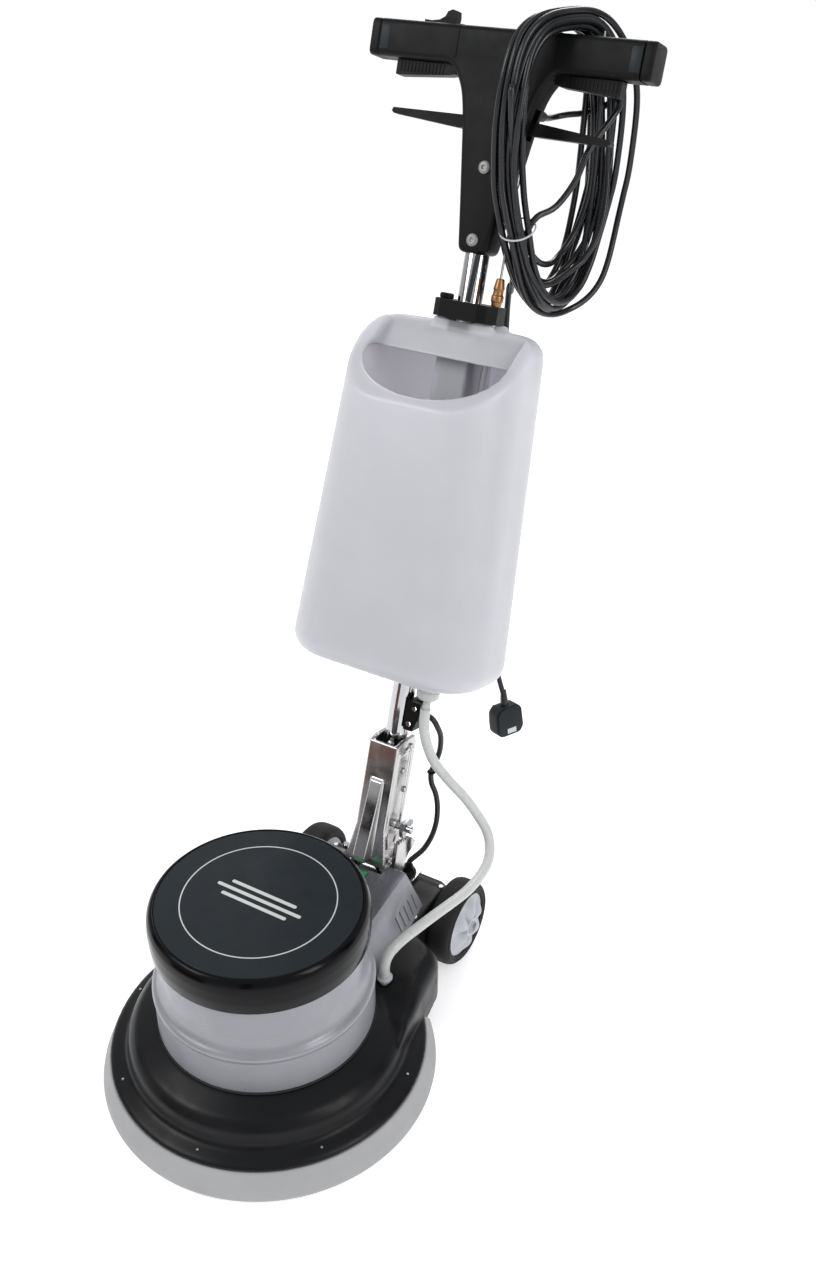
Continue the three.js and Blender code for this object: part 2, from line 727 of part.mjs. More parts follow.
function trigger(side) {
  const { inner, outer, bottom, top } = TRIGGER;
  const bar = outline([
    [inner, bottom + 6], [inner, top + 8], [inner + 14, top + 8], [inner + 18, top],
    [outer, top], [outer, bottom], [outer - 3, bottom - 1], [inner + 10, bottom + 4],
  ]);
  return solid(acrossY(bar, -8.5, 8.5).scale(side, 1, 1));
}

function safetyLever() {
  const hook = outline([
    [-80, 1243], [-94, 1243], [-94, 1257.6], [-122, 1257.6], [-123, 1261], [-112, 1260.5],
    [-102, 1262], [-95, 1266], [-92, 1272], [-86, 1274.5], [-79, 1273], [-78, 1266],
  ]);
  return solid(acrossY(hook, -5.5, 5.5));
}

function headBolt(z) {
  const head = solid(rod(8, [0, -25, z], [0, -21.4, z], 20));
  const shank = solid(rod(4, [0, -22, z], [0, 20, z], 12));
  return head.add(shank);
}

function mainsGland() {
  const profile = [[5, 0], [10, 0], [10, 6], [7.5, 8], [6, 26], [4.3, 26], [4.3, 4], [5, 4]];
  return ring(profile, 16).rotateX(-Math.PI / 2).translate(34, GRIP.depth / 2 + GAP, 1170);
}

// ---------------------------------------------------------------- cords, hose and plug

// The hanging coil's outline across the loop: flat over the grip and round at its foot.
function coilLoop(half, top, corner, foot, footHeight) {
  const path = new THREE.Shape();
  path.moveTo(-half, top - corner);
  path.absellipse(0, foot, half, footHeight, Math.PI, 2 * Math.PI, false);
  path.lineTo(half, top - corner);
  path.absarc(half - corner, top - corner, corner, 0, Math.PI / 2);
  path.lineTo(corner - half, top);
  path.absarc(corner - half, top - corner, corner, Math.PI / 2, Math.PI);
  return path;
}

function mainsCoil() {
  const loop = coilLoop(98, 1225, 62, 973, 116);
  loop.holes.push(coilLoop(62, 1199, 42, 980, 74));
  const bundle = solid(prism(loop, -COIL.halfDepth, COIL.halfDepth, 8)
    .rotateX(Math.PI / 2)
    .rotateZ(COIL.turn)
    .translate(COIL.x, COIL.y, 0));
  const besideWire = solid(block([-10, 538, 990], [50, 620, 1130]));
  const besideFerrule = solid(block([-10, 480, 850], [55, 620, 1003]));
  return cut(bundle, besideWire, besideFerrule);
}

const feedRoute = [
  [34, 640.6, 1094.3], [34.5, 652, 1090.5], [37, 668, 1086], [44, 681, 1083], [55, 689, 1082],
  [67, 691, 1082], [78.6, 688.4, 1082],
];

const dropRoute = [
  [50, 565.5, 900], [42, 567, 900], [33, 570, 897], [28, 573, 890], [25, 577, 874],
  [24, 578, 850], [24, 578, 800],
  [24.5, 578, 700], [25, 578, 600], [25.5, 578, 500], [26, 578, 420], [26.5, 578, 350],
  [30, 577.5, 315], [38, 577, 286], [44.5, 576.5, 267], [47.9, 576, 254.2],
];

const motorCableRoute = [
  [34.7, 351, 361], [41, 351.5, 360.5], [48, 352, 356], [53, 354, 345], [55.5, 359, 327],
  [54.5, 359, 303], [50.5, 354, 283], [46.5, 349, 267], [48, 348, 249], [54, 349, 232],
  [58, 348, 212], [60, 342, 188], [58, 333, 167], [52, 321, 149], [44.5, 309, 140],
  [39.5, 302, 134.5], [38, 300, 128.4],
];

const hoseRoute = [
  [42, 337.8, 377.2], [42.2, 335, 360], [44, 334, 342], [49, 335, 320], [58, 338, 296],
  [76, 346, 267], [97, 357, 236], [114, 366, 204], [128, 369, 178], [139, 358, 161],
  [147, 335, 153], [149, 304, 150],
  [147, 272, 150], [141, 240, 152], [134, 208, 154], [126, 176, 154], [118, 146, 152],
  [112, 124, 145], [110, 114.6, 131], [110, 114, 112],
];

function cableGland(x, y, z) {
  return ring([[4.4, 0], [11, 0], [11, 5], [8, 7], [7, 14], [4.4, 14]], 16).translate(x, y, z);
}

function mainsPlug() {
  const body = solid(prism(outline([
    [-16, 25], [16, 25], [24, 17], [25, -14], [17, -24], [-17, -24], [-25, -14], [-24, 17],
  ]), -2, 24));
  const neck = solid(rod(6.5, [0, 24, 9], [0, 32, 9], 14));
  const earth = solid(block([-2, 5, -24], [2, 13, -1]));
  const line = solid(block([-14, -12, -19], [-8, -8, -1]));
  const neutral = solid(block([8, -12, -19], [14, -8, -1]));
  const plug = meshOf(join(body, neck, earth, line, neutral));
  plug.rotateX(Math.PI / 2).rotateX(THREE.MathUtils.degToRad(-12));
  plug.rotateZ(THREE.MathUtils.degToRad(62)).translate(46, 577, 220);
  return plug;
}

// ---------------------------------------------------------------- assembly

const machine = new THREE.Group();

place(machine, 'deck_housing', deckHousing(), blackPlastic);
place(machine, 'bumper_ring', bumperRing(), bumperRubber);
place(machine, 'motor_gasket', motorGasket(), blackRubber);
place(machine, 'motor_housing', motorHousing(), greyPaint);
place(machine, 'motor_cap', motorCap(), glossBlack);
place(machine, 'cap_plate', rod(CAP.plateRadius, [0, 0, 286.3], [0, 0, 288.3], 28), slate);
place(machine, 'stator', stator(), copper);
place(machine, 'rotor_shaft', rotorShaft(), steel);
place(machine, 'cooling_fan', coolingFan(), blackPlastic);
place(machine, 'upper_bearing', bearing(229.5), chrome);
place(machine, 'lower_bearing', bearing(104.5), chrome);
place(machine, 'gearbox_housing', gearboxHousing(), steel);
place(machine, 'planet_carrier', planetCarrier(), steel);
for (let i = 0; i < PLANET_COUNT; i += 1) {
  const [x, y] = planetPlace(i);
  const gear = place(machine, `planet_gear_${i + 1}`, planetGear(), steel);
  gear.position.set(x, y, 0);
}
place(machine, 'pad_driver', padDriver(), blackPlastic);
place(machine, 'floor_pad', floorPad(), padFibre);
place(machine, 'rear_cover', rearCover(), greyPaint);
place(machine, 'start_capacitor', rod(17, [-55, 172, 128], [-55, 232, 128], 20), slate);
place(machine, 'terminal_block', block([18, 176, 107], [62, 216, 130]), lightPlastic);
place(machine, 'hinge_base', hingeBase(), polishedAluminium);
place(machine, 'hinge_pin', rod(8, [-31, PIN.x, PIN.y], [46, PIN.x, PIN.y]), chrome);
place(machine, 'base_cable_gland', cableGland(38, 300, 112.7), blackPlastic);
place(machine, 'hose_inlet', hoseInlet().translate(110, 114, 0), lightPlastic);
place(machine, 'wheel_axle', wheelAxle(), steel);
for (const [suffix, side] of [['left', -1], ['right', 1]]) {
  place(machine, `tyre_${suffix}`, tyre(side), blackRubber);
  place(machine, `wheel_hub_${suffix}`, wheelHub(side), lightPlastic);
}

const handle = new THREE.Group();
handle.position.y = POLE_FOOT_Y;
handle.rotation.x = -LEAN;
machine.add(handle);

place(handle, 'pole_bracket', poleBracket(), polishedAluminium);
place(handle, 'tilt_pawl', tiltPawl(), steel);
place(handle, 'pole_tube', poleTube(), chrome);
place(handle, 'tank_bracket', tankBracket(), blackPlastic);
place(handle, 'connector_box', connectorBox(), blackPlastic);
place(handle, 'tank_body', tankBody(), tankPlastic);
place(handle, 'tank_collar', tankCollar(), blackPlastic);
place(handle, 'water_valve', waterValve(), lightPlastic);
place(handle, 'valve_cable', valveCable(), steel);
place(handle, 'brass_ferrule', brassFerrule(), brass);
place(handle, 'handle_front_shell', headShell(true), blackPlastic);
place(handle, 'handle_rear_shell', headShell(false), blackPlastic);
place(handle, 'power_switch', block([-14, -8, 1176], [14, 8, 1200]), slate);
for (const [suffix, side] of [['left', -1], ['right', 1]]) {
  place(handle, `grip_cap_${suffix}`, gripCap(side), blackPlastic);
  place(handle, `trigger_${suffix}`, trigger(side), blackPlastic);
}
place(handle, 'safety_lever', safetyLever(), blackPlastic);
place(handle, 'tilt_lever', headLever(-1, 0), blackPlastic);
place(handle, 'water_lever', headLever(1, 9), blackPlastic);
place(handle, 'handle_bolt_lower', headBolt(BOLT_HEIGHTS[0]), steel);
place(handle, 'handle_bolt_upper', headBolt(BOLT_HEIGHTS[1]), steel);
place(handle, 'mains_gland', mainsGland(), blackRubber);

place(machine, 'mains_cord_feed', sweep(feedRoute, CORD_RADIUS, 8), blackRubber);
place(machine, 'mains_cord_coil', mainsCoil(), blackRubber);
place(machine, 'mains_cord_drop', sweep(dropRoute, CORD_RADIUS, 22), blackRubber);
place(machine, 'mains_plug', mainsPlug(), blackPlastic);
place(machine, 'motor_cable', sweep(motorCableRoute, CORD_RADIUS, 26), blackRubber);
place(machine, 'solution_hose', sweep(hoseRoute, HOSE_RADIUS, 36), hosePlastic);

export default machine;
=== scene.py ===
# Single-disc floor machine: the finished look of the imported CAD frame.
# Lengths in the helpers are millimetres. "Pole" pieces are drawn upright in the pole's own frame
# (x across, y towards the back, z along the pole) and leant back with it.

import math

import bmesh
import bpy
from mathutils import Matrix, Vector


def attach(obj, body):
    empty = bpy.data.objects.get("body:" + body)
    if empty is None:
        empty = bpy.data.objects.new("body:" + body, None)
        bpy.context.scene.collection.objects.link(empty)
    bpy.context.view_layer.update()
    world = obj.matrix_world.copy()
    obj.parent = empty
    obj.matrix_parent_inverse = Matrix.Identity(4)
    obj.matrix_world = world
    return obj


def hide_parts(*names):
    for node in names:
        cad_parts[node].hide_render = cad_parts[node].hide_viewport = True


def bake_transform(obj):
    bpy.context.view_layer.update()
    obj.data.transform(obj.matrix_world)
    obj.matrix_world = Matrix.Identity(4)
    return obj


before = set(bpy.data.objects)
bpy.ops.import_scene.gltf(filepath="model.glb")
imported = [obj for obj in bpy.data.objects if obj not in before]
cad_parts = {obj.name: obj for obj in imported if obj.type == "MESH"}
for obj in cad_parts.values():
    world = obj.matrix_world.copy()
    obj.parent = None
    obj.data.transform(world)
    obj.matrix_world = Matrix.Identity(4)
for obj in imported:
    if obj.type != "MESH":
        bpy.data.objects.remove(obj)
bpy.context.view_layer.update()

MM = 0.001
LEAN = math.atan(1 / 3)
POLE = Matrix.Translation((0, 0.2225, 0)) @ Matrix.Rotation(-LEAN, 4, "X")
WORLD = Matrix.Identity(4)
VALVE_PLACE = POLE @ Matrix.Translation((0.042, -0.010, 0))
WHEEL_CENTRE = (0, 0.294, 0.063)
CORD_DIAMETER = 8.0
HOSE_DIAMETER = 14.4
CAP_TOP = 288.6
scene = bpy.context.scene


# ------------------------------------------------------------------ camera

def make_camera():
    data = bpy.data.cameras.new("camera")
    data.sensor_fit = "VERTICAL"
    data.sensor_height = 24
    data.lens = 24.945
    camera = bpy.data.objects.new("camera", data)
    camera.location = (0.762, -0.9428, 1.4371)
    camera.rotation_euler = (math.radians(90 - 32.62), 0, math.radians(30.25))
    scene.collection.objects.link(camera)
    scene.camera = camera


# ------------------------------------------------------------------ geometry helpers

def add_object(name, data):
    obj = bpy.data.objects.new(name, data)
    scene.collection.objects.link(obj)
    return obj


def mesh_object(name, vertices, faces, matrix=WORLD):
    mesh = bpy.data.meshes.new(name)
    mesh.from_pydata([Vector(v) * MM for v in vertices], [], faces)
    mesh.transform(matrix)
    mesh.validate()
    bm = bmesh.new()
    bm.from_mesh(mesh)
    bmesh.ops.recalc_face_normals(bm, faces=bm.faces)
    bm.to_mesh(mesh)
    bm.free()
    return add_object(name, mesh)


def soften(points, radius, steps=4, closed=False):
    """Rounds the corners of a polyline."""
    result = []
    count = len(points)
    for i, point in enumerate(points):
        if not closed and i in (0, count - 1):
            result.append(tuple(point))
            continue
        here = Vector(point)
        before = Vector(points[i - 1]) - here
        after = Vector(points[(i + 1) % count]) - here
        reach = min(radius, before.length * 0.48, after.length * 0.48)
        start = here + before.normalized() * reach
        end = here + after.normalized() * reach
        for k in range(steps + 1):
            t = k / steps
            mixed = start * (1 - t) ** 2 + here * 2 * t * (1 - t) + end * t * t
            result.append(tuple(mixed))
    return result


def revolve(name, profile, segments=96, matrix=WORLD, closed=False):
    """A solid of revolution about Z from (radius, height) pairs."""
    vertices = []
    rings = []
    for radius, height in profile:
        if radius < 1e-6:
            rings.append([len(vertices)])
            vertices.append((0, 0, height))
            continue
        rings.append([len(vertices) + i for i in range(segments)])
        for i in range(segments):
            angle = 2 * math.pi * i / segments
            vertices.append((radius * math.cos(angle), radius * math.sin(angle), height))
    faces = []
    pairs = list(zip(rings, rings[1:]))
    if closed:
        pairs.append((rings[-1], rings[0]))
    for low, high in pairs:
        for i in range(segments):
            j = (i + 1) % segments
            if len(low) == 1 and len(high) == 1:
                break
            if len(low) == 1:
                faces.append((low[0], high[j], high[i]))
            elif len(high) == 1:
                faces.append((low[i], low[j], high[0]))
            else:
                faces.append((low[i], low[j], high[j], high[i]))
    obj = mesh_object(name, vertices, faces, matrix)
    smooth(obj)
    return obj


def prism(name, outline, low, high, axis="z", matrix=WORLD):
    """An outline pushed along an axis. The outline is (x, y), (x, z) or (y, z)."""
    order = {
        "z": lambda a, b, c: (a, b, c),
        "y": lambda a, b, c: (a, c, b),
        "x": lambda a, b, c: (c, a, b),
    }[axis]
    count = len(outline)
    vertices = [order(a, b, low) for a, b in outline]
    vertices += [order(a, b, high) for a, b in outline]
    faces = [tuple(range(count))[::-1], tuple(range(count, 2 * count))]
    for i in range(count):
        j = (i + 1) % count
        faces.append((i, j, count + j, count + i))
    return mesh_object(name, vertices, faces, matrix)


def block(name, low, high, matrix=WORLD):
    outline = [(low[0], low[1]), (high[0], low[1]), (high[0], high[1]), (low[0], high[1])]
    return prism(name, outline, low[2], high[2], "z", matrix)


def rod(name, radius, start, end, segments=32, matrix=WORLD, edge=0.0):
    start = Vector(start)
    along = Vector(end) - start
    length = along.length
    turn = Vector((0, 0, 1)).rotation_difference(along.normalized()).to_matrix().to_4x4()
    place = matrix @ Matrix.Translation(start * MM) @ turn
    edge = max(edge, 0.01)
    profile = [
        (0, 0), (radius - edge, 0), (radius, edge), (radius, length - edge),
        (radius - edge, length), (0, length),
    ]
    obj = revolve(name, profile, segments, place)
    flat_edges(obj, 40)
    return obj


def loft(name, rings, matrix=WORLD):
    count = len(rings[0])
    vertices = [point for ring in rings for point in ring]
    faces = [tuple(range(count))[::-1]]
    for level in range(len(rings) - 1):
        for i in range(count):
            j = (i + 1) % count
            base = level * count
            faces.append((base + i, base + j, base + count + j, base + count + i))
    last = (len(rings) - 1) * count
    faces.append(tuple(range(last, last + count)))
    return mesh_object(name, vertices, faces, matrix)


def smooth(obj):
    for polygon in obj.data.polygons:
        polygon.use_smooth = True


def span(side, near, far):
    """The (low, high) pair between two distances on one side of the middle."""
    return tuple(sorted((side * near, side * far)))


def flat_edges(obj, angle):
    """Smooth shading that keeps corners sharper than angle as edges."""
    smooth(obj)
    bm = bmesh.new()
    bm.from_mesh(obj.data)
    for edge in bm.edges:
        if len(edge.link_faces) == 2:
            edge.smooth = edge.calc_face_angle(0) < math.radians(angle)
    bm.to_mesh(obj.data)
    bm.free()


def bake(obj):
    """Replaces the object's mesh with what its modifiers make of it."""
    bpy.context.view_layer.update()
    graph = bpy.context.evaluated_depsgraph_get()
    mesh = bpy.data.meshes.new_from_object(obj.evaluated_get(graph))
    obj.modifiers.clear()
    obj.data = mesh
    return obj


def boolean(obj, operation, *tools):
    for tool in tools:
        step = obj.modifiers.new("cut", "BOOLEAN")
        step.operation = operation
        step.solver = "EXACT"
        step.object = tool
        bake(obj)
        bpy.data.objects.remove(tool)
    return obj


def cut(obj, *tools):
    return boolean(obj, "DIFFERENCE", *tools)


def join(obj, *others):
    return boolean(obj, "UNION", *others)


def bevel(obj, width, segments=3, angle=30):
    step = obj.modifiers.new("bevel", "BEVEL")
    step.width = width * MM
    step.segments = segments
    step.limit_method = "ANGLE"
    step.angle_limit = math.radians(angle)
    bake(obj)
    flat_edges(obj, 50)
    return obj


def mould(obj, voxel, rounds=6, factor=0.5):
    """Remeshes a joined body and relaxes it, which fillets it like a moulding or a casting."""
    step = obj.modifiers.new("voxels", "REMESH")
    step.mode = "VOXEL"
    step.voxel_size = voxel * MM
    step.use_smooth_shade = True
    relax = obj.modifiers.new("relax", "SMOOTH")
    relax.iterations = rounds
    relax.factor = factor
    bake(obj)
    smooth(obj)
    return obj


def spline_points(points, spacing):
    """Catmull-Rom through points, at about an even spacing."""
    knots = [Vector(p) for p in points]
    knots = [2 * knots[0] - knots[1]] + knots + [2 * knots[-1] - knots[-2]]
    line = []
    for a, b, c, d in zip(knots, knots[1:], knots[2:], knots[3:]):
        steps = max(2, round((c - b).length / spacing))
        for k in range(steps):
            t = k / steps
            line.append(0.5 * (
                2 * b + (c - a) * t + (2 * a - 5 * b + 4 * c - d) * t * t
                + (3 * b - a - 3 * c + d) * t ** 3
            ))
    line.append(knots[-2])
    return line


def curve_tube(name, line, radius):
    data = bpy.data.curves.new(name, "CURVE")
    data.dimensions = "3D"
    data.bevel_depth = radius * MM
    data.bevel_resolution = 4
    data.use_fill_caps = True
    spline = data.splines.new("POLY")
    spline.points.add(len(line) - 1)
    for point, place in zip(spline.points, line):
        point.co = (*(Vector(place) * MM), 1)
    return add_object(name, data)


def mesh_tube(name, line, radius, sides=20, matrix=WORLD):
    """A round tube along a line, as a mesh with closed ends."""
    line = [Vector(p) for p in line]
    across = Vector((1, 0, 0))
    rings = []
    for i, point in enumerate(line):
        along = (line[min(i + 1, len(line) - 1)] - line[max(i - 1, 0)]).normalized()
        across = (across - along * across.dot(along)).normalized()
        other = along.cross(across)
        size = radius(i / (len(line) - 1)) if callable(radius) else radius
        rings.append([
            point + across * size * math.cos(2 * math.pi * k / sides)
            + other * size * math.sin(2 * math.pi * k / sides)
            for k in range(sides)
        ])
    obj = loft(name, rings, matrix)
    flat_edges(obj, 60)
    return obj


# ------------------------------------------------------------------ materials

def shade(
    name, color, roughness, metallic=0.0, spread=0.08, grain=900, bump=0.03,
    tone=0.12, cloud=14, coat=0.0, under=0.0, clear=0.0, scratch=0.0, gleam=0.5,
):
    """A surface with uneven roughness, slight tone changes, fine grain and light scratches."""
    mat = bpy.data.materials.new(name)
    mat.use_nodes = True
    tree = mat.node_tree
    nodes = tree.nodes
    link = tree.links.new
    surface = nodes["Principled BSDF"]
    surface.inputs["Metallic"].default_value = metallic
    surface.inputs["IOR"].default_value = 1.5
    surface.inputs["Specular IOR Level"].default_value = gleam
    surface.inputs["Coat Weight"].default_value = coat
    surface.inputs["Coat Roughness"].default_value = 0.12
    surface.inputs["Subsurface Weight"].default_value = under
    surface.inputs["Subsurface Radius"].default_value = (1.0, 0.95, 1.0)
    surface.inputs["Subsurface Scale"].default_value = 0.03
    surface.inputs["Transmission Weight"].default_value = clear

    where = nodes.new("ShaderNodeTexCoord").outputs["Object"]

    def noise(size, detail):
        node = nodes.new("ShaderNodeTexNoise")
        node.inputs["Scale"].default_value = size
        node.inputs["Detail"].default_value = detail
        link(where, node.inputs["Vector"])
        return node.outputs["Fac"]

    def remap(value, low, high):
        node = nodes.new("ShaderNodeMapRange")
        node.inputs["From Min"].default_value = 0.3
        node.inputs["From Max"].default_value = 0.7
        node.inputs["To Min"].default_value = low
        node.inputs["To Max"].default_value = high
        link(value, node.inputs["Value"])
        return node.outputs["Result"]

    clouds = noise(cloud, 5)
    link(
        remap(noise(cloud * 3.1, 6), max(0.02, roughness - spread), roughness + spread),
        surface.inputs["Roughness"],
    )
    mix = nodes.new("ShaderNodeMix")
    mix.data_type = "RGBA"
    mix.inputs["A"].default_value = (*[c * (1 - tone) for c in color], 1)
    mix.inputs["B"].default_value = (*[min(1, c * (1 + tone)) for c in color], 1)
    link(remap(clouds, 0, 1), mix.inputs["Factor"])
    link(mix.outputs["Result"], surface.inputs["Base Color"])

    height = noise(grain, 3)
    if scratch:
        lines = nodes.new("ShaderNodeTexWave")
        lines.inputs["Scale"].default_value = 60
        lines.inputs["Distortion"].default_value = 18
        lines.inputs["Detail"].default_value = 4
        link(where, lines.inputs["Vector"])
        blend = nodes.new("ShaderNodeMath")
        blend.operation = "MULTIPLY_ADD"
        blend.inputs[1].default_value = scratch
        link(lines.outputs["Fac"], blend.inputs[0])
        link(height, blend.inputs[2])
        height = blend.outputs["Value"]
    relief = nodes.new("ShaderNodeBump")
    relief.inputs["Strength"].default_value = 0.6
    relief.inputs["Distance"].default_value = bump * MM
    link(height, relief.inputs["Height"])
    link(relief.outputs["Normal"], surface.inputs["Normal"])
    return mat


def make_materials():
    return {
        "deck_plastic": shade(
            "deck_plastic", (0.005, 0.0053, 0.0062), 0.34, spread=0.06, bump=0.04, gleam=0.2,
        ),
        "black_plastic": shade(
            "black_plastic", (0.004, 0.0042, 0.0046), 0.46, spread=0.06, bump=0.08, gleam=0.15,
        ),
        "gloss_black": shade(
            "gloss_black", (0.002, 0.0022, 0.003), 0.18, spread=0.05, bump=0.01, gleam=0.14,
        ),
        "slate_plastic": shade(
            "slate_plastic", (0.011, 0.016, 0.02), 0.5, bump=0.05, tone=0.1, gleam=0.25,
        ),
        "grey_paint": shade("grey_paint", (0.29, 0.295, 0.32), 0.34, 0.2, bump=0.05, tone=0.05),
        # Painted shade: a darker grey for the rear cover's upward-facing top.
        "shaded_top_paint": shade("shaded_top_paint", (0.11, 0.113, 0.125), 0.3, 0.3, bump=0.05, tone=0.06),
        "bumper_rubber": shade("bumper_rubber", (0.36, 0.36, 0.365), 0.62, bump=0.12, tone=0.06),
        "black_rubber": shade(
            "black_rubber", (0.011, 0.0115, 0.013), 0.6, bump=0.08, gleam=0.35,
        ),
        "cord_rubber": shade(
            "cord_rubber", (0.007, 0.0075, 0.009), 0.3, bump=0.03, coat=0.2, gleam=0.4,
        ),
        "tyre_rubber": shade(
            "tyre_rubber", (0.013, 0.013, 0.014), 0.7, bump=0.2, tone=0.2, gleam=0.3,
        ),
        "light_plastic": shade("light_plastic", (0.47, 0.48, 0.52), 0.42, bump=0.05, tone=0.05),
        "polished_aluminium": shade(
            "polished_aluminium", (0.56, 0.55, 0.545), 0.2, 1.0, grain=70, bump=0.12, scratch=0.05,
        ),
        "chrome": shade(
            "chrome", (0.5, 0.5, 0.51), 0.08, 1.0, spread=0.04, grain=300, bump=0.02, tone=0.03,
        ),
        "steel": shade(
            "steel", (0.5, 0.51, 0.52), 0.34, 1.0, spread=0.1, grain=400, bump=0.06, scratch=0.4,
        ),
        "zinc": shade("zinc", (0.3, 0.3, 0.29), 0.5, 0.8, spread=0.1, grain=400, bump=0.08),
        "winding": shade(
            "winding", (0.45, 0.2, 0.07), 0.4, 0.6, spread=0.1, grain=200, bump=0.3, scratch=0.6,
        ),
        "brass": shade(
            "brass", (0.34, 0.18, 0.075), 0.38, 1.0, spread=0.1, grain=400, bump=0.06, tone=0.25,
        ),
        "tank_plastic": shade(
            "tank_plastic", (0.56, 0.562, 0.605), 0.4, spread=0.05, bump=0.04, tone=0.02, under=0.75,
        ),
        "hose_plastic": shade(
            "hose_plastic", (0.60, 0.61, 0.59), 0.28, bump=0.02, tone=0.03, under=0.25, clear=0.08,
        ),
        "pad_fibre": shade("pad_fibre", (0.32, 0.045, 0.03), 0.95, grain=500, bump=1.2, tone=0.35),
        "sticker": shade("sticker", (0.01, 0.30, 0.10), 0.35, bump=0.01),
        "pale_print": shade("pale_print", (0.62, 0.63, 0.62), 0.5, bump=0.01, tone=0.05),
        "wire_tie": shade("wire_tie", (0.55, 0.56, 0.58), 0.4, bump=0.02),
    }


MATERIALS = {}


def give(obj, material, body=None, nodes=(), slot=None):
    """Gives a piece its material and the body it rides on, and hides the CAD nodes it stands for."""
    obj.data.materials.clear()
    obj.data.materials.append(MATERIALS[material])
    if body:
        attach(obj, body)
    if nodes:
        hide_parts(*nodes)
    if slot is None:
        slot = material
    return obj


def dress(node, material, width=0.6, segments=2):
    """Keeps a CAD node as it is, with rounded edges and its material."""
    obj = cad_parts[node]
    flatten = obj.modifiers.new("flatten", "DECIMATE")
    flatten.decimate_type = "DISSOLVE"
    flatten.angle_limit = math.radians(3)
    step = obj.modifiers.new("edges", "BEVEL")
    step.width = width * MM
    step.segments = segments
    step.limit_method = "ANGLE"
    step.angle_limit = math.radians(32)
    obj.data.materials.clear()
    obj.data.materials.append(MATERIALS[material])
    return obj


# ------------------------------------------------------------------ cords and hose

COIL_CENTRE = (72.7, 602)
COIL_HEADING = math.radians(72)
COIL_TOP = 1203
COIL_MIDDLE = 1045
COIL_FOOT = 866
COIL_HALF_WIDTH = 67
LOOSE_TURN = 11.93


def coil_point(k):
    """A place on the coil: k counts turns, its fraction runs from the foot up the back.

    The layers are (outwards, sideways) offsets of the strands in the bundle, one per turn, and the
    feet are how far each turn's lowest point is lifted.
    """
    layers = [
        (6, -12), (0, -6), (1, 3), (2, 12), (9, 8), (8, 0), (9, -9), (16, -14), (17, -5),
        (16, 4), (17, 13), (25, 8), (25, -3), (26, -12),
    ]
    feet = [50, 22, 62, 30, 14, 40, 8, 18, 6, 10, 2, 5, 0, 3]
    i = min(int(k), len(layers) - 2)
    t = k - i
    ease = t * t * (3 - 2 * t)
    out, off = [layers[i][n] + (layers[i + 1][n] - layers[i][n]) * ease for n in (0, 1)]
    foot = feet[i] + (feet[i + 1] - feet[i]) * ease
    angle = 2 * math.pi * k - math.pi / 2
    wide, tall = math.cos(angle), math.sin(angle)
    power = 2 / (3.0 if tall > 0 else 2.1)
    half = COIL_HALF_WIDTH + out
    across = half * math.copysign(abs(wide) ** power, wide)
    if tall > 0:
        height = COIL_MIDDLE + (COIL_TOP - COIL_MIDDLE + out * 0.75) * tall ** power
    else:
        height = COIL_MIDDLE - (COIL_MIDDLE - COIL_FOOT - foot) * abs(tall) ** power
    sway = 1.4 * math.sin(2.3 * k + 3 * angle) + 2.6 * math.sin(0.9 * k * k + angle)
    off += sway * (0.35 + 0.65 * (1 - max(0, tall)))
    off *= 1.12 + 0.75 * min(1, max(0, across / 60))
    off += 8 * min(1, max(0, -across / 60))
    across += 2 * math.sin(1.7 * k + 2 * angle) * (1 - max(0, tall))
    loose = math.sin(math.pi * min(1, max(0, (k - LOOSE_TURN) / 0.55)))
    off -= 24 * loose
    across += 9 * loose
    low = min(1, max(0, (1060 - height) / 90))
    off -= 15 * low * min(1, max(0, 0.35 - across / 60))
    turn_x, turn_y = math.cos(COIL_HEADING), math.sin(COIL_HEADING)
    return (
        COIL_CENTRE[0] + across * turn_x - off * turn_y,
        COIL_CENTRE[1] + across * turn_y + off * turn_x,
        height,
    )


def mains_cord():
    feed = [
        (34, 638.6, 1094.6), (34.5, 650, 1091.5), (38, 664, 1091), (50, 676, 1093), (70, 681, 1096),
        (96, 678, 1106), (118, 665, 1120), (130, 647, 1116), (126, 633, 1102), (111, 609, 1071),
        (102, 594, 1036), (88, 572, 1008), (73, 550, 998), (65, 540, 978), (65, 538, 945),
        (72, 552, 918), (82, 582, 908),
    ]
    points_per_turn = 36
    last = 13 * points_per_turn - 1
    first_turn = 0.06
    turns = 13 - 0.36
    loops = [coil_point(first_turn + turns * n / last) for n in range(last + 1)]
    drop = [
        (38, 563, 912), (31, 569, 902), (27, 575, 885), (24.5, 578, 860), (24, 578, 800),
        (24.5, 578.5, 700), (25, 577.5, 600), (25.5, 578, 500), (26, 578, 420), (26.5, 578, 350),
        (30, 577.5, 315), (38, 577, 286), (44.5, 576.5, 267), (47.9, 576, 250),
    ]
    line = spline_points(feed + loops + drop, 6)
    cord = curve_tube("mains_cord", line, CORD_DIAMETER / 2)
    give(
        cord, "cord_rubber", "handle",
        ["mains_cord_feed", "mains_cord_coil", "mains_cord_drop"], "black_rubber",
    )


def motor_cable():
    route = [
        (33.5, 351, 361), (41, 351.5, 360.5), (48, 352, 356), (53, 354, 345), (55.5, 359, 327),
        (54.5, 359, 303), (50.5, 354, 283), (46.5, 349, 267), (48, 348, 249), (54, 349, 232),
        (58, 348, 212), (60, 342, 188), (58, 333, 167), (52, 321, 149), (44.5, 309, 140),
        (39.5, 302, 134.5), (38, 300, 126.5),
    ]
    line = spline_points(route, 5)
    obj = mesh_tube("motor_cable_visual", line, CORD_DIAMETER / 2, 16)
    give(obj, "cord_rubber", None, ["motor_cable"], "black_rubber")
    return obj, line


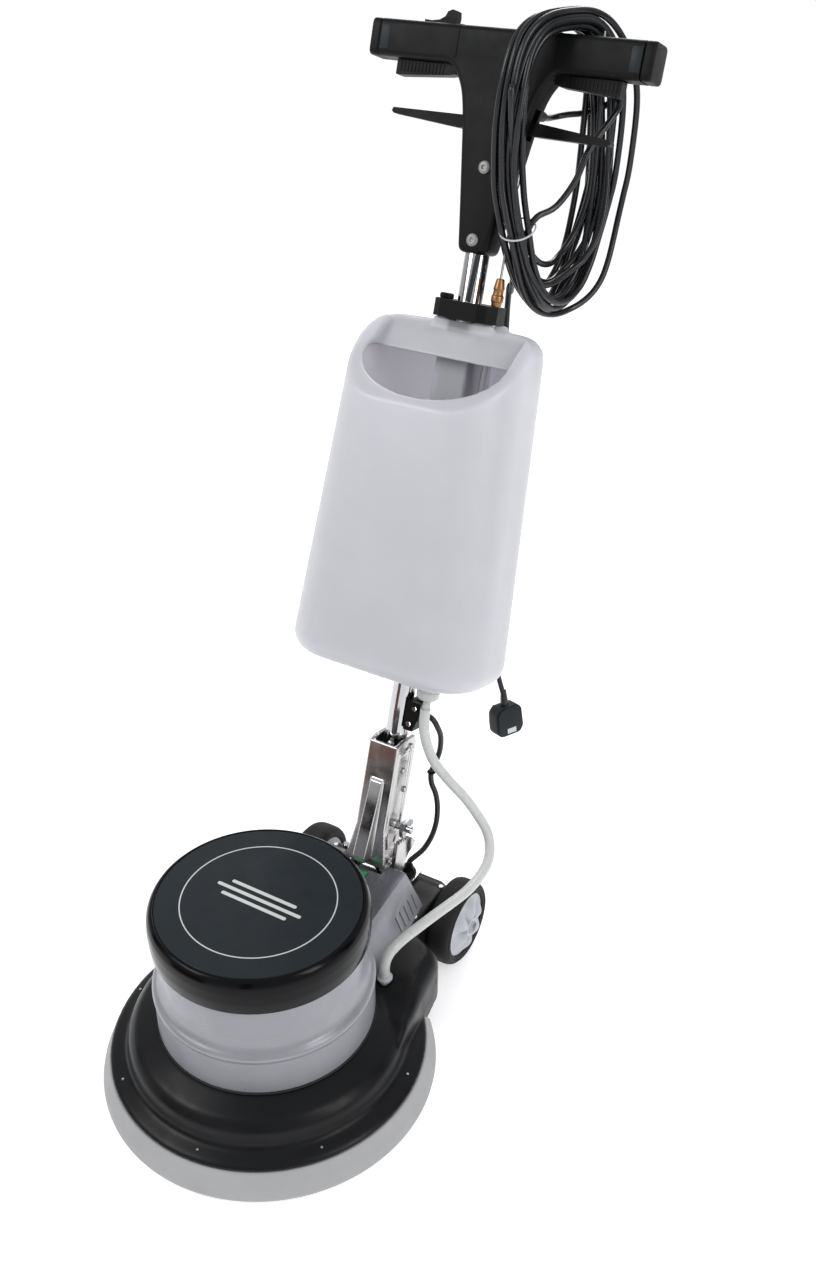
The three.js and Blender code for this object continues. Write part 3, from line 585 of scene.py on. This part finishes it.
def solution_hose():
    route = [
        (42, 339, 382), (42.2, 335, 360), (44, 334, 342), (49, 335, 320), (58, 338, 296),
        (76, 346, 267), (97, 357, 236), (114, 366, 204), (128, 369, 178), (139, 358, 161),
        (147, 335, 153), (149, 304, 150), (147, 272, 150), (141, 240, 152), (134, 208, 154),
        (126, 176, 154), (118, 146, 152), (112, 124, 145), (110, 114.6, 131), (110, 114, 107),
    ]
    line = spline_points(route, 5)
    obj = mesh_tube("solution_hose_visual", line, HOSE_DIAMETER / 2, 24)
    give(obj, "hose_plastic", None, ["solution_hose"])
    return obj, line


def declare_flexible(obj):
    """Bakes a cord's placement into its mesh."""
    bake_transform(obj)


# ------------------------------------------------------------------ base

CARRIAGE_SIDE = [
    (153.5, 180), (149, 191), (138, 198), (112, 206), (99, 216), (97, 228), (97, 308), (94, 317),
    (85, 322),
]


def carriage_plan(grow):
    """The outline of the deck's rear half, widened by grow."""
    side = [(x + grow, y) for x, y in [(120, 20), (178, 28)] + CARRIAGE_SIDE]
    return side + [(-x, y) for x, y in reversed(side)]


def level(y, table):
    """Reads a smooth curve given as (y, value) pairs."""
    if y <= table[0][0]:
        return table[0][1]
    for (y0, v0), (y1, v1) in zip(table, table[1:]):
        if y <= y1:
            t = (y - y0) / (y1 - y0)
            return v0 + (v1 - v0) * t * t * (3 - 2 * t)
    return table[-1][1]


def carriage_block():
    """The rear half of the deck, whose top rises out of the round part with a wide soft edge."""
    half = [(120, -14), (180, -6), (178.5, 28)] + CARRIAGE_SIDE
    side = []
    for (x0, y0), (x1, y1) in zip(half, half[1:]):
        steps = max(1, round(math.hypot(x1 - x0, y1 - y0) / 8))
        side += [(x0 + (x1 - x0) * n / steps, y0 + (y1 - y0) * n / steps) for n in range(steps)]
    side.append(half[-1])
    top = [(-14, 66), (28, 82), (75, 96), (130, 106), (300, 106), (322, 99)]
    edge = [(-14, 5), (40, 9), (150, 24), (195, 24), (225, 7), (322, 6)]
    rings = [[(x, y, 28) for x, y in side]]
    for n in range(9):
        angle = math.pi / 2 * n / 8
        rings.append([
            (x - level(y, edge) * (1 - math.cos(angle)), y,
             level(y, top) - level(y, edge) * (1 - math.sin(angle)))
            for x, y in side
        ])
    count = len(side)
    vertices = []
    for ring in rings:
        vertices += ring + [(-x, y, z) for x, y, z in reversed(ring)]
    faces = []
    for i in range(len(rings) - 1):
        for j in range(2 * count):
            n = (j + 1) % (2 * count)
            a, b = 2 * count * i, 2 * count * (i + 1)
            faces.append((a + j, a + n, b + n, b + j))
    for base in (0, 2 * count * (len(rings) - 1)):
        for j in range(count - 1):
            mate = 2 * count - 1 - j
            faces.append((base + j, base + j + 1, base + mate - 1, base + mate))
    return mesh_object("carriage", vertices, faces)


def deck():
    dish = revolve("deck", soften([
        (0, 8), (204.5, 8), (204.5, 43.6), (207.8, 44.4), (208.4, 47.5), (204, 51), (187, 57),
        (183.8, 62), (180.5, 79), (171, 90), (141, 102), (0, 102),
    ], 5, 5), 128)
    join(dish, carriage_block())
    hollow = revolve("hollow", [
        (0, 7), (200.5, 7), (200.5, 40), (181, 51), (178, 56), (174, 76), (165, 84), (0, 84),
    ], 96)
    seat = rod("seat", 143.4, (0, 0, 101.9), (0, 0, 120), 128)
    hose_hole = rod("hose_hole", 8, (110, 114, 88), (110, 114, 120))
    groove_left = block("groove", (-60, 300, 104.4), (-92, 302, 120))
    groove_side = block("groove", (-92, 262, 104.4), (-90, 302, 120))
    cut(dish, hollow, seat, hose_hole, groove_left, groove_side)
    mould(dish, 1.9, 8)
    for n in range(8):
        angle = math.radians(9 + 45 * n)
        if math.sin(angle) > 0.5:
            continue
        x, y = 196 * math.cos(angle), 196 * math.sin(angle)
        screw = rod(f"flange_screw_{n + 1}", 1.8, (x, y, 52), (x, y, 55.2), 12, edge=0.4)
        give(screw, "steel", "base")
    give(dish, "deck_plastic", "base", ["deck_housing"])


def bumper():
    band = revolve("bumper", soften([
        (205.2, 3), (216, 2), (220.2, 5), (221, 10), (218.6, 20), (212.8, 34), (210.2, 41),
        (208.8, 43.3), (205.2, 43.2),
    ], 1.5, 3, True), 144, closed=True)
    cut(band, prism("behind", carriage_plan(0.8), -10, 60))
    flat_edges(band, 40)
    give(band, "bumper_rubber", "base", ["bumper_ring"])


def motor():
    gasket = revolve("gasket", [
        (134, 102.2), (142.2, 102.2), (142.4, 103.4), (142, 104.8), (134, 104.8),
    ], 128, closed=True)
    give(gasket, "black_rubber", "base", ["motor_gasket"])
    housing = revolve("housing", soften([
        (134, 105), (140.6, 105), (141, 107), (141, 157), (142.6, 160), (142.6, 163.5), (140.4, 167),
        (136, 170), (132.8, 176), (131.2, 187), (130.5, 238), (126.5, 238), (126.5, 233), (28, 233),
        (28, 243), (20.3, 243), (20.3, 228.5), (122, 228.5), (126.5, 224), (126.5, 188),
        (129.5, 174), (134, 160),
    ], 2, 3, True), 128, closed=True)
    give(housing, "grey_paint", "base", ["motor_housing"])
    cap = revolve("cap", soften([
        (0, 283), (124, 283), (131, 279.5), (134.4, 272.5), (134.8, 256), (134.8, 238.5),
        (137.4, 238.4), (138.9, 255), (138.9, 270), (137.9, 279), (135, 285.4), (131.6, 288.2),
        (129, 288), (128.7, 286), (0, 286),
    ], 2.2, 4), 160)
    give(cap, "gloss_black", "base", ["motor_cap"])
    plate = revolve("cap_disc", soften([
        (0, 286.2), (128.3, 286.2), (128.3, 288), (127, 288.6), (0, 288.7),
    ], 0.5, 2), 128)
    give(plate, "slate_plastic", "base", ["cap_plate"])
    emblem_top = CAP_TOP + 0.4
    ring = revolve("emblem_ring", [
        (96, CAP_TOP), (97.6, CAP_TOP), (97.6, emblem_top), (96, emblem_top),
    ], 128, closed=True)
    give(ring, "pale_print", "base", slot="slate_plastic")
    for n, (low, high) in enumerate([(-14, -9), (-2.5, 2.5), (9, 14)]):
        half = 62 - 14 * abs(n - 1)
        outline = soften([(-half, low), (half, low), (half, high), (-half, high)], 2.4, 4, True)
        bar = prism(f"emblem_bar_{n + 1}", outline, CAP_TOP, emblem_top)
        give(bar, "pale_print", "base", slot="slate_plastic")


def rear_cover():
    half = [
        (99, 106, 106.4), (96, 186, 106.4), (86, 258, 106.4),
        (76, 100, 166), (72, 135, 165.5), (63, 249, 163),
    ]
    points = [Vector((s * x, y, z)) * MM for x, y, z in half for s in (1, -1)]
    mesh = bpy.data.meshes.new("rear_cover_visual")
    bm = bmesh.new()
    for point in points:
        bm.verts.new(point)
    bmesh.ops.convex_hull(bm, input=bm.verts)
    bmesh.ops.recalc_face_normals(bm, faces=bm.faces)
    bm.to_mesh(mesh)
    bm.free()
    cover = add_object("rear_cover_visual", mesh)
    cut(cover, rod("around_motor", 143.6, (0, 0, 90), (0, 0, 200), 128),
        block("notch", (-35, 229, 90), (35, 280, 200)))
    for n in range(5):
        for side in (-1, 1):
            slot_tool = block("louvre", (-8, -1.4, -1), (8, 1.4, 24))
            slot_tool.data.transform(
                Matrix.Translation(Vector((side * 89, 190 + 13 * n, 114)) * MM)
                @ Matrix.Rotation(math.radians(side * -22), 4, "Y")
            )
            cut(cover, slot_tool)
    bevel(cover, 1.8, 3, 20)
    give(cover, "grey_paint", "base", ["rear_cover"])
    # The cover's upward faces on top get the darker grey, which is painted shade.
    cover.data.materials.append(MATERIALS["shaded_top_paint"])
    for polygon in cover.data.polygons:
        if polygon.normal.z > 0.9 and polygon.center.z > 0.15:
            polygon.material_index = 1
    label = block("blank_label", (-12, 190, 164.2), (18, 222, 165.4))
    bevel(label, 0.3, 2)
    give(label, "sticker", "base", slot="grey_paint")


def wheel_hub(suffix, place):
    """A hub whose outer face swells into six soft petals around a raised middle."""
    rim, eye = 47, 6
    radial, around = 26, 120
    circle = [2 * math.pi * j / around for j in range(around)]
    vertices = []
    for i in range(radial + 1):
        share = i / radial
        radius = eye + (rim - eye) * share
        for angle in circle:
            petals = abs(math.cos(3 * angle + 1.1 * share))
            swell = math.sin(math.pi * min(1, share * 1.12)) * (petals ** 0.9) * 10
            height = 136 + 3 * (1 - share ** 2.2) + swell
            if radius < 14:
                height = 147
            vertices.append((radius * math.cos(angle), radius * math.sin(angle), height))
    faces = []
    for i in range(radial):
        for j in range(around):
            n = (j + 1) % around
            a, b = i * around, (i + 1) * around
            faces.append((a + j, b + j, b + n, a + n))
    top = len(vertices)
    vertices += [(rim * math.cos(angle), rim * math.sin(angle), 104) for angle in circle]
    last = radial * around
    for j in range(around):
        n = (j + 1) % around
        faces.append((last + j, top + j, top + n, last + n))
    faces.append(tuple(range(top, top + around)))
    faces.append(tuple(range(around))[::-1])
    hub = mesh_object(f"hub_{suffix}_visual", vertices, faces, place)
    flat_edges(hub, 48)
    give(hub, "light_plastic", f"wheel_{suffix}", [f"wheel_hub_{suffix}"])


def wheels():
    for suffix, side in (("left", -1), ("right", 1)):
        outwards = Matrix.Rotation(math.radians(90 * side), 4, "Y")
        place = Matrix.Translation(WHEEL_CENTRE) @ outwards
        tyre = revolve(f"tyre_{suffix}_visual", soften([
            (47.3, 101), (56, 101), (60, 104), (62.3, 110), (62.5, 120), (62.3, 130), (60, 136.5),
            (56, 139.5), (47.3, 139),
        ], 3, 4, True), 96, place, True)
        give(tyre, "tyre_rubber", f"wheel_{suffix}", [f"tyre_{suffix}"])
        groove = revolve(f"tyre_groove_{suffix}", [
            (54, 139.4), (55.4, 139.4), (55.4, 140), (54, 140),
        ], 96, place, True)
        give(groove, "black_rubber", f"wheel_{suffix}", slot="tyre_rubber")
        wheel_hub(suffix, place)
        nut = rod(f"axle_cap_{suffix}", 9.5, (0, 0, 144), (0, 0, 149.5), 6, place, 0.8)
        give(nut, "light_plastic", f"wheel_{suffix}")


def small_base_parts():
    dress("hinge_base", "polished_aluminium", 1.2, 3)
    dress("base_cable_gland", "black_plastic", 0.5)
    dress("hose_inlet", "light_plastic", 0.4)
    dress("wheel_axle", "steel", 0.6)
    for name in (
        "gearbox_housing", "planet_carrier", "planet_gear_1", "planet_gear_2", "planet_gear_3",
        "rotor_shaft",
    ):
        dress(name, "steel", 0.2, 1)
    dress("stator", "winding", 0.5)
    dress("upper_bearing", "chrome", 0.4)
    dress("lower_bearing", "chrome", 0.4)
    dress("cooling_fan", "black_plastic", 0.3)
    dress("start_capacitor", "slate_plastic", 0.8)
    dress("terminal_block", "light_plastic", 0.8)
    driver = revolve("pad_driver_visual", soften([
        (0, 20.4), (185, 20.4), (188, 23), (188, 30), (180, 34), (46, 38), (40, 50), (0, 50),
    ], 1.5, 3), 96)
    give(driver, "black_plastic", "disc", ["pad_driver"])
    pad = revolve("pad_visual", soften([
        (0, 0), (190, 0), (192, 3), (192, 17), (190, 20), (0, 20),
    ], 1.5, 3), 128)
    give(pad, "pad_fibre", "disc", ["floor_pad"])
    for n, (x, y) in enumerate([(-90, 304), (90, 304), (88, 232), (-88, 232)]):
        screw = rod(f"deck_screw_{n + 1}", 3.6, (x, y, 105.6), (x, y, 107.4), 20, edge=0.6)
        give(screw, "steel", "base")
    lug = rod("rear_lug", 5, (-74, 308, 105.5), (-74, 308, 113), 24, edge=1)
    give(lug, "chrome", "base", slot="steel")
    for n, x in enumerate((-44, 44)):
        for m, y in enumerate((270, 306)):
            bolt = rod(f"hinge_bolt_{2 * n + m + 1}", 4.6, (x, y, 112.2), (x, y, 116), 6, edge=0.7)
            give(bolt, "steel", "base")


# ------------------------------------------------------------------ pole group

PIN_HEIGHT = 140


def bracket():
    """The cast bracket between the hinge pin and the foot of the pole."""
    plate = prism("bracket", [
        (-31, 158), (31, 158), (31, 166), (23, 212), (23, 340), (-23, 340), (-23, 212), (-31, 166),
    ], -34, -28, "y")
    side = [
        (-33, 158), (-33, 340), (-26, 343), (-18, 346), (14, 348), (20, 338), (20, 170),
        (18, PIN_HEIGHT),
    ]
    for n in range(1, 10):
        angle = -math.pi * n / 10
        side.append((18 * math.cos(angle), PIN_HEIGHT + 18 * math.sin(angle)))
    side.append((-18, PIN_HEIGHT))
    tools = [prism("cheek", side, x, x + 6.4, "x") for x in (-23, 16.6)]
    rib = [(-32, 290), (-38, 284), (-55, 174), (-51, 166), (-32, 166)]
    tools.append(prism("rib", rib, -9.5, 9.5, "x"))
    tools.append(block("web", (-8, -29, 172), (8, -16.4, 335)))
    tools.append(rod("boss", 6, (22, 0, 216), (32.4, 0, 216)))
    tools.append(rod("ear", 20, (21, 0, PIN_HEIGHT), (30.6, 0, PIN_HEIGHT)))
    tools.append(rod("ear", 20, (-30.6, 0, PIN_HEIGHT), (-21, 0, PIN_HEIGHT)))
    raised = [(-27, 205), (-27, 330), (10, 336), (14, 205), (4, 180), (-18, 182)]
    inner = [(-22, 212), (-22, 324), (5, 329), (9, 212), (0, 188), (-15, 189)]
    frame_ring = prism("frame", raised, 22, 24.4, "x")
    cut(frame_ring, prism("frame_hole", inner, 21, 26, "x"))
    tools.append(frame_ring)
    join(plate, *tools)
    mould(plate, 1.1, 3)
    plate.data.transform(POLE)
    give(plate, "polished_aluminium", "handle", ["pole_bracket"])
    for n, (y, z) in enumerate([(4, 334), (-8, 300), (6, 268)]):
        screw = rod(f"cheek_screw_{n + 1}", 4.4, (22.5, y, z), (26, y, z), 24, POLE, 0.8)
        give(screw, "steel", "handle")
    knob = rod("pawl_knob", 5.5, (39.2, 2, 214), (49, 2, 214), 24, POLE, 1.5)
    give(knob, "chrome", "pawl", slot="steel")


def pole_tube():
    tube = revolve("pole", soften([
        (13.5, 166), (16, 166), (16, 1120), (13.5, 1120),
    ], 0.6, 2, True), 64, POLE, True)
    flat_edges(tube, 40)
    give(tube, "chrome", "handle", ["pole_tube"])
    rail = mesh_tube("pole_cable", spline_points([
        (7, -19.5, 939), (8, -19.8, 955), (9, -19.6, 975), (10, -19.2, 996),
    ], 5), 3.4, 14, POLE)
    give(rail, "cord_rubber", "handle", slot="black_rubber")


TANK_LOW = 459
TANK_HIGH = 908
TANK_WIDTH_LOW = 286
TANK_WIDTH_HIGH = 230
TANK_FRONT = -131
TANK_BACK = 57
TANK_CORNER = 76
TANK_EDGE = 26
TANK_WALL = 6
SCOOP = Matrix.Translation((0, -0.131, 0.811)) @ Matrix.Rotation(math.asin(0.6868), 4, "X")


def tank_ring(height, inset, steps=14):
    """The tank's rounded outline at a height, moved inwards by inset."""
    share = (height - TANK_LOW) / (TANK_HIGH - TANK_LOW)
    half = (TANK_WIDTH_LOW + (TANK_WIDTH_HIGH - TANK_WIDTH_LOW) * share) / 2 - inset
    front, back = TANK_FRONT + inset - 0.6 * (1 - share), TANK_BACK - inset
    corner = max(6, TANK_CORNER - inset)
    points = []
    for x, y, quarter in (
        (half - corner, back - corner, 0), (corner - half, back - corner, 1),
        (corner - half, front + corner, 2), (half - corner, front + corner, 3),
    ):
        for i in range(steps + 1):
            angle = math.pi / 2 * (quarter + i / steps)
            points.append((x + corner * math.cos(angle), y + corner * math.sin(angle), height))
    return points


def tank_loft(name, wall):
    low, high = TANK_LOW + wall, TANK_HIGH - wall
    levels = []
    for n in range(7):
        angle = math.pi / 2 * n / 6
        levels.append((low + TANK_EDGE * (1 - math.cos(angle)), TANK_EDGE * (1 - math.sin(angle))))
    levels += [(high - (z - low), inset) for z, inset in reversed(levels)]
    return loft(name, [tank_ring(z, wall + inset) for z, inset in levels])


def scoop_tool(depth):
    """Everything in front of the oblique face that cuts off the tank's top front corner."""
    return block("scoop", (-200, -120, -depth), (200, 260, 120), SCOOP)


def mouth_tool():
    """A U inside the oblique face's rim, down to the slanted skin behind it."""
    half, shoulder, sag = 97, 80, 66
    plan = [(-half, 190), (-half, shoulder)]
    for n in range(1, 28):
        angle = math.pi * n / 28
        plan.append((-half * math.cos(angle), shoulder - sag * math.sin(angle)))
    plan += [(half, shoulder), (half, 190)]
    tool = prism("mouth", plan, -70, 60, "z", SCOOP)
    slant = [
        (-12, 950), (-12, 912), (-15, 908), (-45, 868), (-87, 812), (-87, 760), (-200, 760),
        (-200, 950),
    ]
    return boolean(tool, "INTERSECT", prism("slant", slant, -140, 140, "x"))


def tank():
    body = tank_loft("tank", 0)
    neck_plan = soften([(-40, 900), (48, 900), (48, 915), (-38, 915)], 3, 3, True)
    neck = prism("neck", neck_plan, -20, 30, "y")
    cut(body, scoop_tool(0), mouth_tool())
    join(body, neck)
    cut(body, block("channel_out", (-19, -19, 440), (19, 80, 950)))
    hollow = tank_loft("hollow", TANK_WALL)
    behind = [(-10, 920), (-10.5, 908), (-40.5, 866), (-220, 866), (-220, 920)]
    cut(hollow, prism("behind", behind, -200, 200, "x"),
        block("channel", (-23.5, -23.5, 440), (23.5, 80, 950)), scoop_tool(TANK_WALL))
    cut(body, hollow)
    mould(body, 2.2, 12)
    cut(body, rod("sleeve_hole", 5, (42, -10, 880), (42, -10, 930)))
    smooth(body)
    body.data.transform(POLE)
    give(body, "tank_plastic", "handle", ["tank_body"])


def valve_parts():
    dress("tank_collar", "black_plastic", 1.6, 3)
    dress("tank_bracket", "black_plastic", 2.2, 3)
    dress("connector_box", "black_plastic", 1.8, 3)
    dress("valve_cable", "steel", 0.2, 1)
    dress("tilt_pawl", "steel", 0.6, 2)
    dress("hinge_pin", "chrome", 0.8, 2)
    nut = revolve("valve_nut", soften([
        (9, 426), (17.2, 426), (17.2, 442), (9, 442),
    ], 1, 2, True), 8, VALVE_PLACE, True)
    flat_edges(nut, 30)
    body = revolve("valve", soften([
        (0, 413), (12, 413), (15.5, 417), (16, 425.8), (0, 425.8),
    ], 1, 3), 40, VALVE_PLACE)
    top = revolve("valve_top", soften([
        (0, 442.2), (15, 442.2), (15, 458.4), (11.4, 458.4), (11.4, 468), (0, 468),
    ], 1, 3), 40, VALVE_PLACE)
    for piece in (nut, body, top):
        give(piece, "hose_plastic", "handle", slot="light_plastic")
    barb = revolve("valve_barb", [
        (0, 394), (4.2, 394), (5.4, 398), (4.8, 399), (5.4, 403), (4.8, 404), (4.8, 414), (0, 414),
    ], 32, VALVE_PLACE)
    give(barb, "hose_plastic", "handle", ["water_valve"], "light_plastic")
    ferrule = revolve("ferrule", soften([
        (2.2, 937.4), (6.2, 937.4), (6.8, 943), (7.8, 944), (7.8, 951), (6.4, 952), (6.4, 958),
        (7.2, 959), (6, 966), (4.8, 972), (2.2, 972),
    ], 0.7, 2, True), 36, VALVE_PLACE, True)
    give(ferrule, "brass", "handle", ["brass_ferrule"])
    knob = rod("collar_knob", 9, (-27, -12, 937), (-27, -12, 944), 28, POLE, 1.6)
    give(knob, "black_plastic", "handle")
    for n, (x, z) in enumerate([(23, 372), (28, 396)]):
        bolt = rod(f"box_bolt_{n + 1}", 4, (x, -14.2, z), (x, -17.4, z), 6, POLE, 0.8)
        give(bolt, "chrome", "handle", slot="steel")
    cable_nut = rod("box_nut", 6.5, (25, 3, 404.2), (25, 3, 411.6), 6, POLE, 0.8)
    give(cable_nut, "chrome", "handle", slot="steel")
    for n, z in enumerate((384, 398)):
        clip = block(f"box_clip_{n + 1}", (34.3, -11, z - 3), (35.8, 0, z + 3), POLE)
        bevel(clip, 0.6, 2)
        give(clip, "steel", "handle")


GRIP_LOW = 1213
GRIP_HIGH = 1257
GRIP_HALF_DEPTH = 21


def head_outline():
    """The handle's front outline, from the foot on the pole up to the cross grip."""
    half = [
        (20, 996), (28, 1050), (42, 1141), (46.5, 1165), (51, 1182), (57, 1195), (70, GRIP_LOW),
        (205, GRIP_LOW), (205, GRIP_HIGH), (60, GRIP_HIGH),
    ]
    return half + [(-x, z) for x, z in reversed(half)]


def head_half(front):
    outline = soften(head_outline(), 9, 4, True)
    whole = prism("head", outline, -GRIP_HALF_DEPTH, GRIP_HALF_DEPTH, "y")
    step = whole.modifiers.new("round", "BEVEL")
    step.width = 7 * MM
    step.segments = 5
    step.limit_method = "ANGLE"
    step.angle_limit = math.radians(60)
    bake(whole)
    low, high = (-60, -0.2) if front else (0.2, 60)
    boolean(whole, "INTERSECT", block("half", (-173.8, low, 980), (173.8, high, 1300)))
    tools = [rod("bore", 16.4, (0, 0, 980), (0, 0, 1121), 48)]
    for side in (-1, 1):
        left, right = span(side, 24, 70)
        tools.append(block("slot", (left, -7.8, 1136), (right, 7.8, 1172)))
        left, right = span(side, 65, 153)
        tools.append(block("bay", (left, -9.5, 1205), (right, 9.5, 1226)))
    tools.append(block("lock_bay", (-98, -6.5, 1240), (-76, 6.5, 1262)))
    cut(whole, *tools)
    flat_edges(whole, 32)
    whole.data.transform(POLE)
    part = "front" if front else "rear"
    whole.name = f"head_{part}"
    give(whole, "black_plastic", "handle", [f"handle_{part}_shell"])


def head_details():
    for side, suffix in ((-1, "left"), (1, "right")):
        depth = GRIP_HALF_DEPTH
        outline = soften([
            (-depth, GRIP_LOW), (depth, GRIP_LOW), (depth, GRIP_HIGH), (-depth, GRIP_HIGH),
        ], 8, 5, True)
        cap = prism(f"grip_cap_{suffix}_visual", outline, *span(side, 174.2, 188), "x")
        bevel(cap, 3, 4, 60)
        cap.data.transform(POLE)
        give(cap, "black_plastic", "handle", [f"grip_cap_{suffix}"])
        left, right = span(side, 160, 173)
        panel = block(f"grip_panel_{suffix}", (left, -21.6, 1221), (right, -20.4, 1249), POLE)
        bevel(panel, 0.5, 2)
        give(panel, "slate_plastic", "handle")
        collar = prism(f"grip_step_{suffix}", soften([
            (-21.8, 1212.2), (21.8, 1212.2), (21.8, 1257.8), (-21.8, 1257.8),
        ], 10, 5, True), *span(side, 64, 67), "x", POLE)
        flat_edges(collar, 30)
        give(collar, "black_plastic", "handle")
        dress(f"trigger_{suffix}", "black_plastic", 1.2, 3)
        for n in range(13):
            left, right = span(side, 84 + 5 * n, 86.2 + 5 * n)
            name = f"trigger_rib_{suffix}_{n + 1}"
            ridge = block(name, (left, -9.4, 1199), (right, -8.3, 1210), POLE)
            give(ridge, "black_plastic", "trigger_l" if side < 0 else "trigger_r")
    dress("safety_lever", "black_plastic", 0.9, 3)
    dress("tilt_lever", "black_plastic", 1.8, 4)
    dress("water_lever", "black_plastic", 1.8, 4)
    dress("power_switch", "slate_plastic", 0.8)
    dress("mains_gland", "black_rubber", 0.4)
    for z, name in ((1012, "lower"), (1098, "upper")):
        forwards = Matrix.Rotation(math.radians(90), 4, "X")
        place = POLE @ Matrix.Translation((0, -0.0212, z * MM)) @ forwards
        head = revolve(f"head_bolt_{name}", soften([
            (0, 1.8), (2.4, 1.8), (2.8, 3.4), (5, 3.4), (7.6, 2.2), (8, 0.8), (8, -0.4), (4, -0.4),
            (4, -41), (0, -41),
        ], 0.5, 3), 40, place)
        give(head, "zinc", "handle", [f"handle_bolt_{name}"], "steel")


def plug():
    place = (
        Matrix.Translation((0.046, 0.577, 0.220)) @ Matrix.Rotation(math.radians(62), 4, "Z")
        @ Matrix.Rotation(math.radians(90 - 12), 4, "X")
    )
    outline = soften([
        (-16, 25), (16, 25), (24, 17), (25, -14), (17, -24), (-17, -24), (-25, -14), (-24, 17),
    ], 5, 4, True)
    body = prism("plug_body", outline, -1.8, 20, "z")
    bevel(body, 1.6, 3)
    body.data.transform(place)
    give(body, "black_rubber", "handle", ["mains_plug"], "black_plastic")
    back = prism("plug_back", [(x * 0.9, y * 0.9) for x, y in outline], 20, 23.6, "z")
    bevel(back, 1.2, 3)
    back.data.transform(place)
    give(back, "slate_plastic", "handle")
    label = block("plug_label", (-8, -18, 23.4), (8, -10, 24.1))
    label.data.transform(place)
    give(label, "pale_print", "handle", slot="light_plastic")
    neck = [(0, 23 + 2.0 * n, 9) for n in range(14)]
    relief = mesh_tube("plug_relief", neck, lambda t: 6.8 - 2.3 * t, 20)
    relief.data.transform(place)
    give(relief, "cord_rubber", "handle", slot="black_rubber")
    pins = [
        ((-2, 5, -24), (2, 13, -1)),
        ((-14, -12, -19), (-8, -8, -1)),
        ((8, -12, -19), (14, -8, -1)),
    ]
    for n, (low, high) in enumerate(pins):
        pin = block(f"plug_pin_{n + 1}", low, high)
        bevel(pin, 0.7, 2)
        pin.data.transform(place)
        give(pin, "brass", "handle")


def ties():
    def loop(name, centre, along, reach):
        axis = Vector(along).normalized()
        first = axis.orthogonal().normalized()
        second = axis.cross(first)
        line = []
        for n in range(49):
            angle = 2 * math.pi * n / 48
            line.append(
                Vector(centre) + first * reach[0] * math.cos(angle)
                + second * reach[1] * math.sin(angle)
            )
        obj = mesh_tube(name, line, 1.1, 10)
        give(obj, "wire_tie", "handle", slot="light_plastic")

    loop("coil_tie_low", (56, 533, 985), (0.1, 0.35, -0.93), (22, 25))
    loop("coil_tie_top", (88, 640, 1187), (0.3, 0.8, -0.5), (22, 22))
    circle = [2 * math.pi * n / 24 for n in range(25)]
    band = mesh_tube("cable_tie", [
        (47 + 5 * math.cos(angle), 349 + 5 * math.sin(angle), 268) for angle in circle
    ], 1.2, 8)
    give(band, "black_plastic", "handle")


# ------------------------------------------------------------------ stage and light

def card(name, half_width, low, high, place, turn, color):
    """A panel outside the view that only the shiny parts mirror."""
    panel = block(name, (-half_width, -5, low), (half_width, 5, high))
    panel.data.transform(
        Matrix.Translation(place) @ Matrix.Rotation(math.radians(turn), 4, "Z")
    )
    paint = bpy.data.materials.new(name)
    paint.use_nodes = True
    paint.node_tree.nodes["Principled BSDF"].inputs["Base Color"].default_value = (*color, 1)
    panel.data.materials.append(paint)
    panel.visible_camera = False
    panel.visible_shadow = False
    panel.visible_diffuse = False
    return panel


def stage():
    reach = 60000
    floor = mesh_object("floor", [
        (-reach, -reach, -0.5), (reach, -reach, -0.5), (reach, reach, -0.5), (-reach, reach, -0.5),
    ], [(0, 1, 2, 3)])
    mat = bpy.data.materials.new("floor")
    mat.use_nodes = True
    surface = mat.node_tree.nodes["Principled BSDF"]
    surface.inputs["Base Color"].default_value = (0.86, 0.86, 0.87, 1)
    surface.inputs["Roughness"].default_value = 0.7
    surface.inputs["Emission Color"].default_value = (1, 1, 1, 1)
    surface.inputs["Emission Strength"].default_value = 0.5
    floor.data.materials.append(mat)
    flags = [
        card(f"flag_{n + 1}", 220, 100, 2200, (x, y, 0), turn, (0.01, 0.01, 0.01))
        for n, (x, y, turn) in enumerate([(-1.7, -0.6, 80), (1.5, 0.9, 120), (0.9, -2.2, 40)])
    ]
    warm = card("warm_card", 350, -260, 260, (-0.55, -0.95, 0.16), -25, (0.16, 0.07, 0.05))

    world = bpy.data.worlds.new("studio")
    scene.world = world
    world.use_nodes = True
    background = world.node_tree.nodes["Background"]
    background.inputs["Color"].default_value = (0.97, 0.98, 1.0, 1)
    background.inputs["Strength"].default_value = 0.6

    def area(name, place, target, size, power):
        data = bpy.data.lights.new(name, "AREA")
        data.shape = "RECTANGLE"
        data.size, data.size_y = size
        data.energy = power
        lamp = add_object(name, data)
        lamp.location = place
        aim = Vector(target) - Vector(place)
        lamp.rotation_euler = aim.to_track_quat("-Z", "Y").to_euler()

    area("key", (-1.6, -1.4, 2.6), (0, 0.2, 0.5), (1.6, 1.2), 34)
    area("side", (2.2, -0.2, 1.8), (0, 0.2, 0.5), (0.6, 1.8), 20)
    area("back", (-0.6, 2.4, 2.2), (0, 0.3, 0.6), (1.4, 1.0), 22)
    scene.view_settings.view_transform = "Standard"


# ------------------------------------------------------------------ build

make_camera()
MATERIALS.update(make_materials())
mains_cord()
cable, cable_line = motor_cable()
hose, hose_line = solution_hose()
deck()
bumper()
motor()
rear_cover()
wheels()
small_base_parts()
bracket()
pole_tube()
tank()
valve_parts()
head_half(True)
head_half(False)
head_details()
plug()
ties()
declare_flexible(cable)
declare_flexible(hose)
stage()
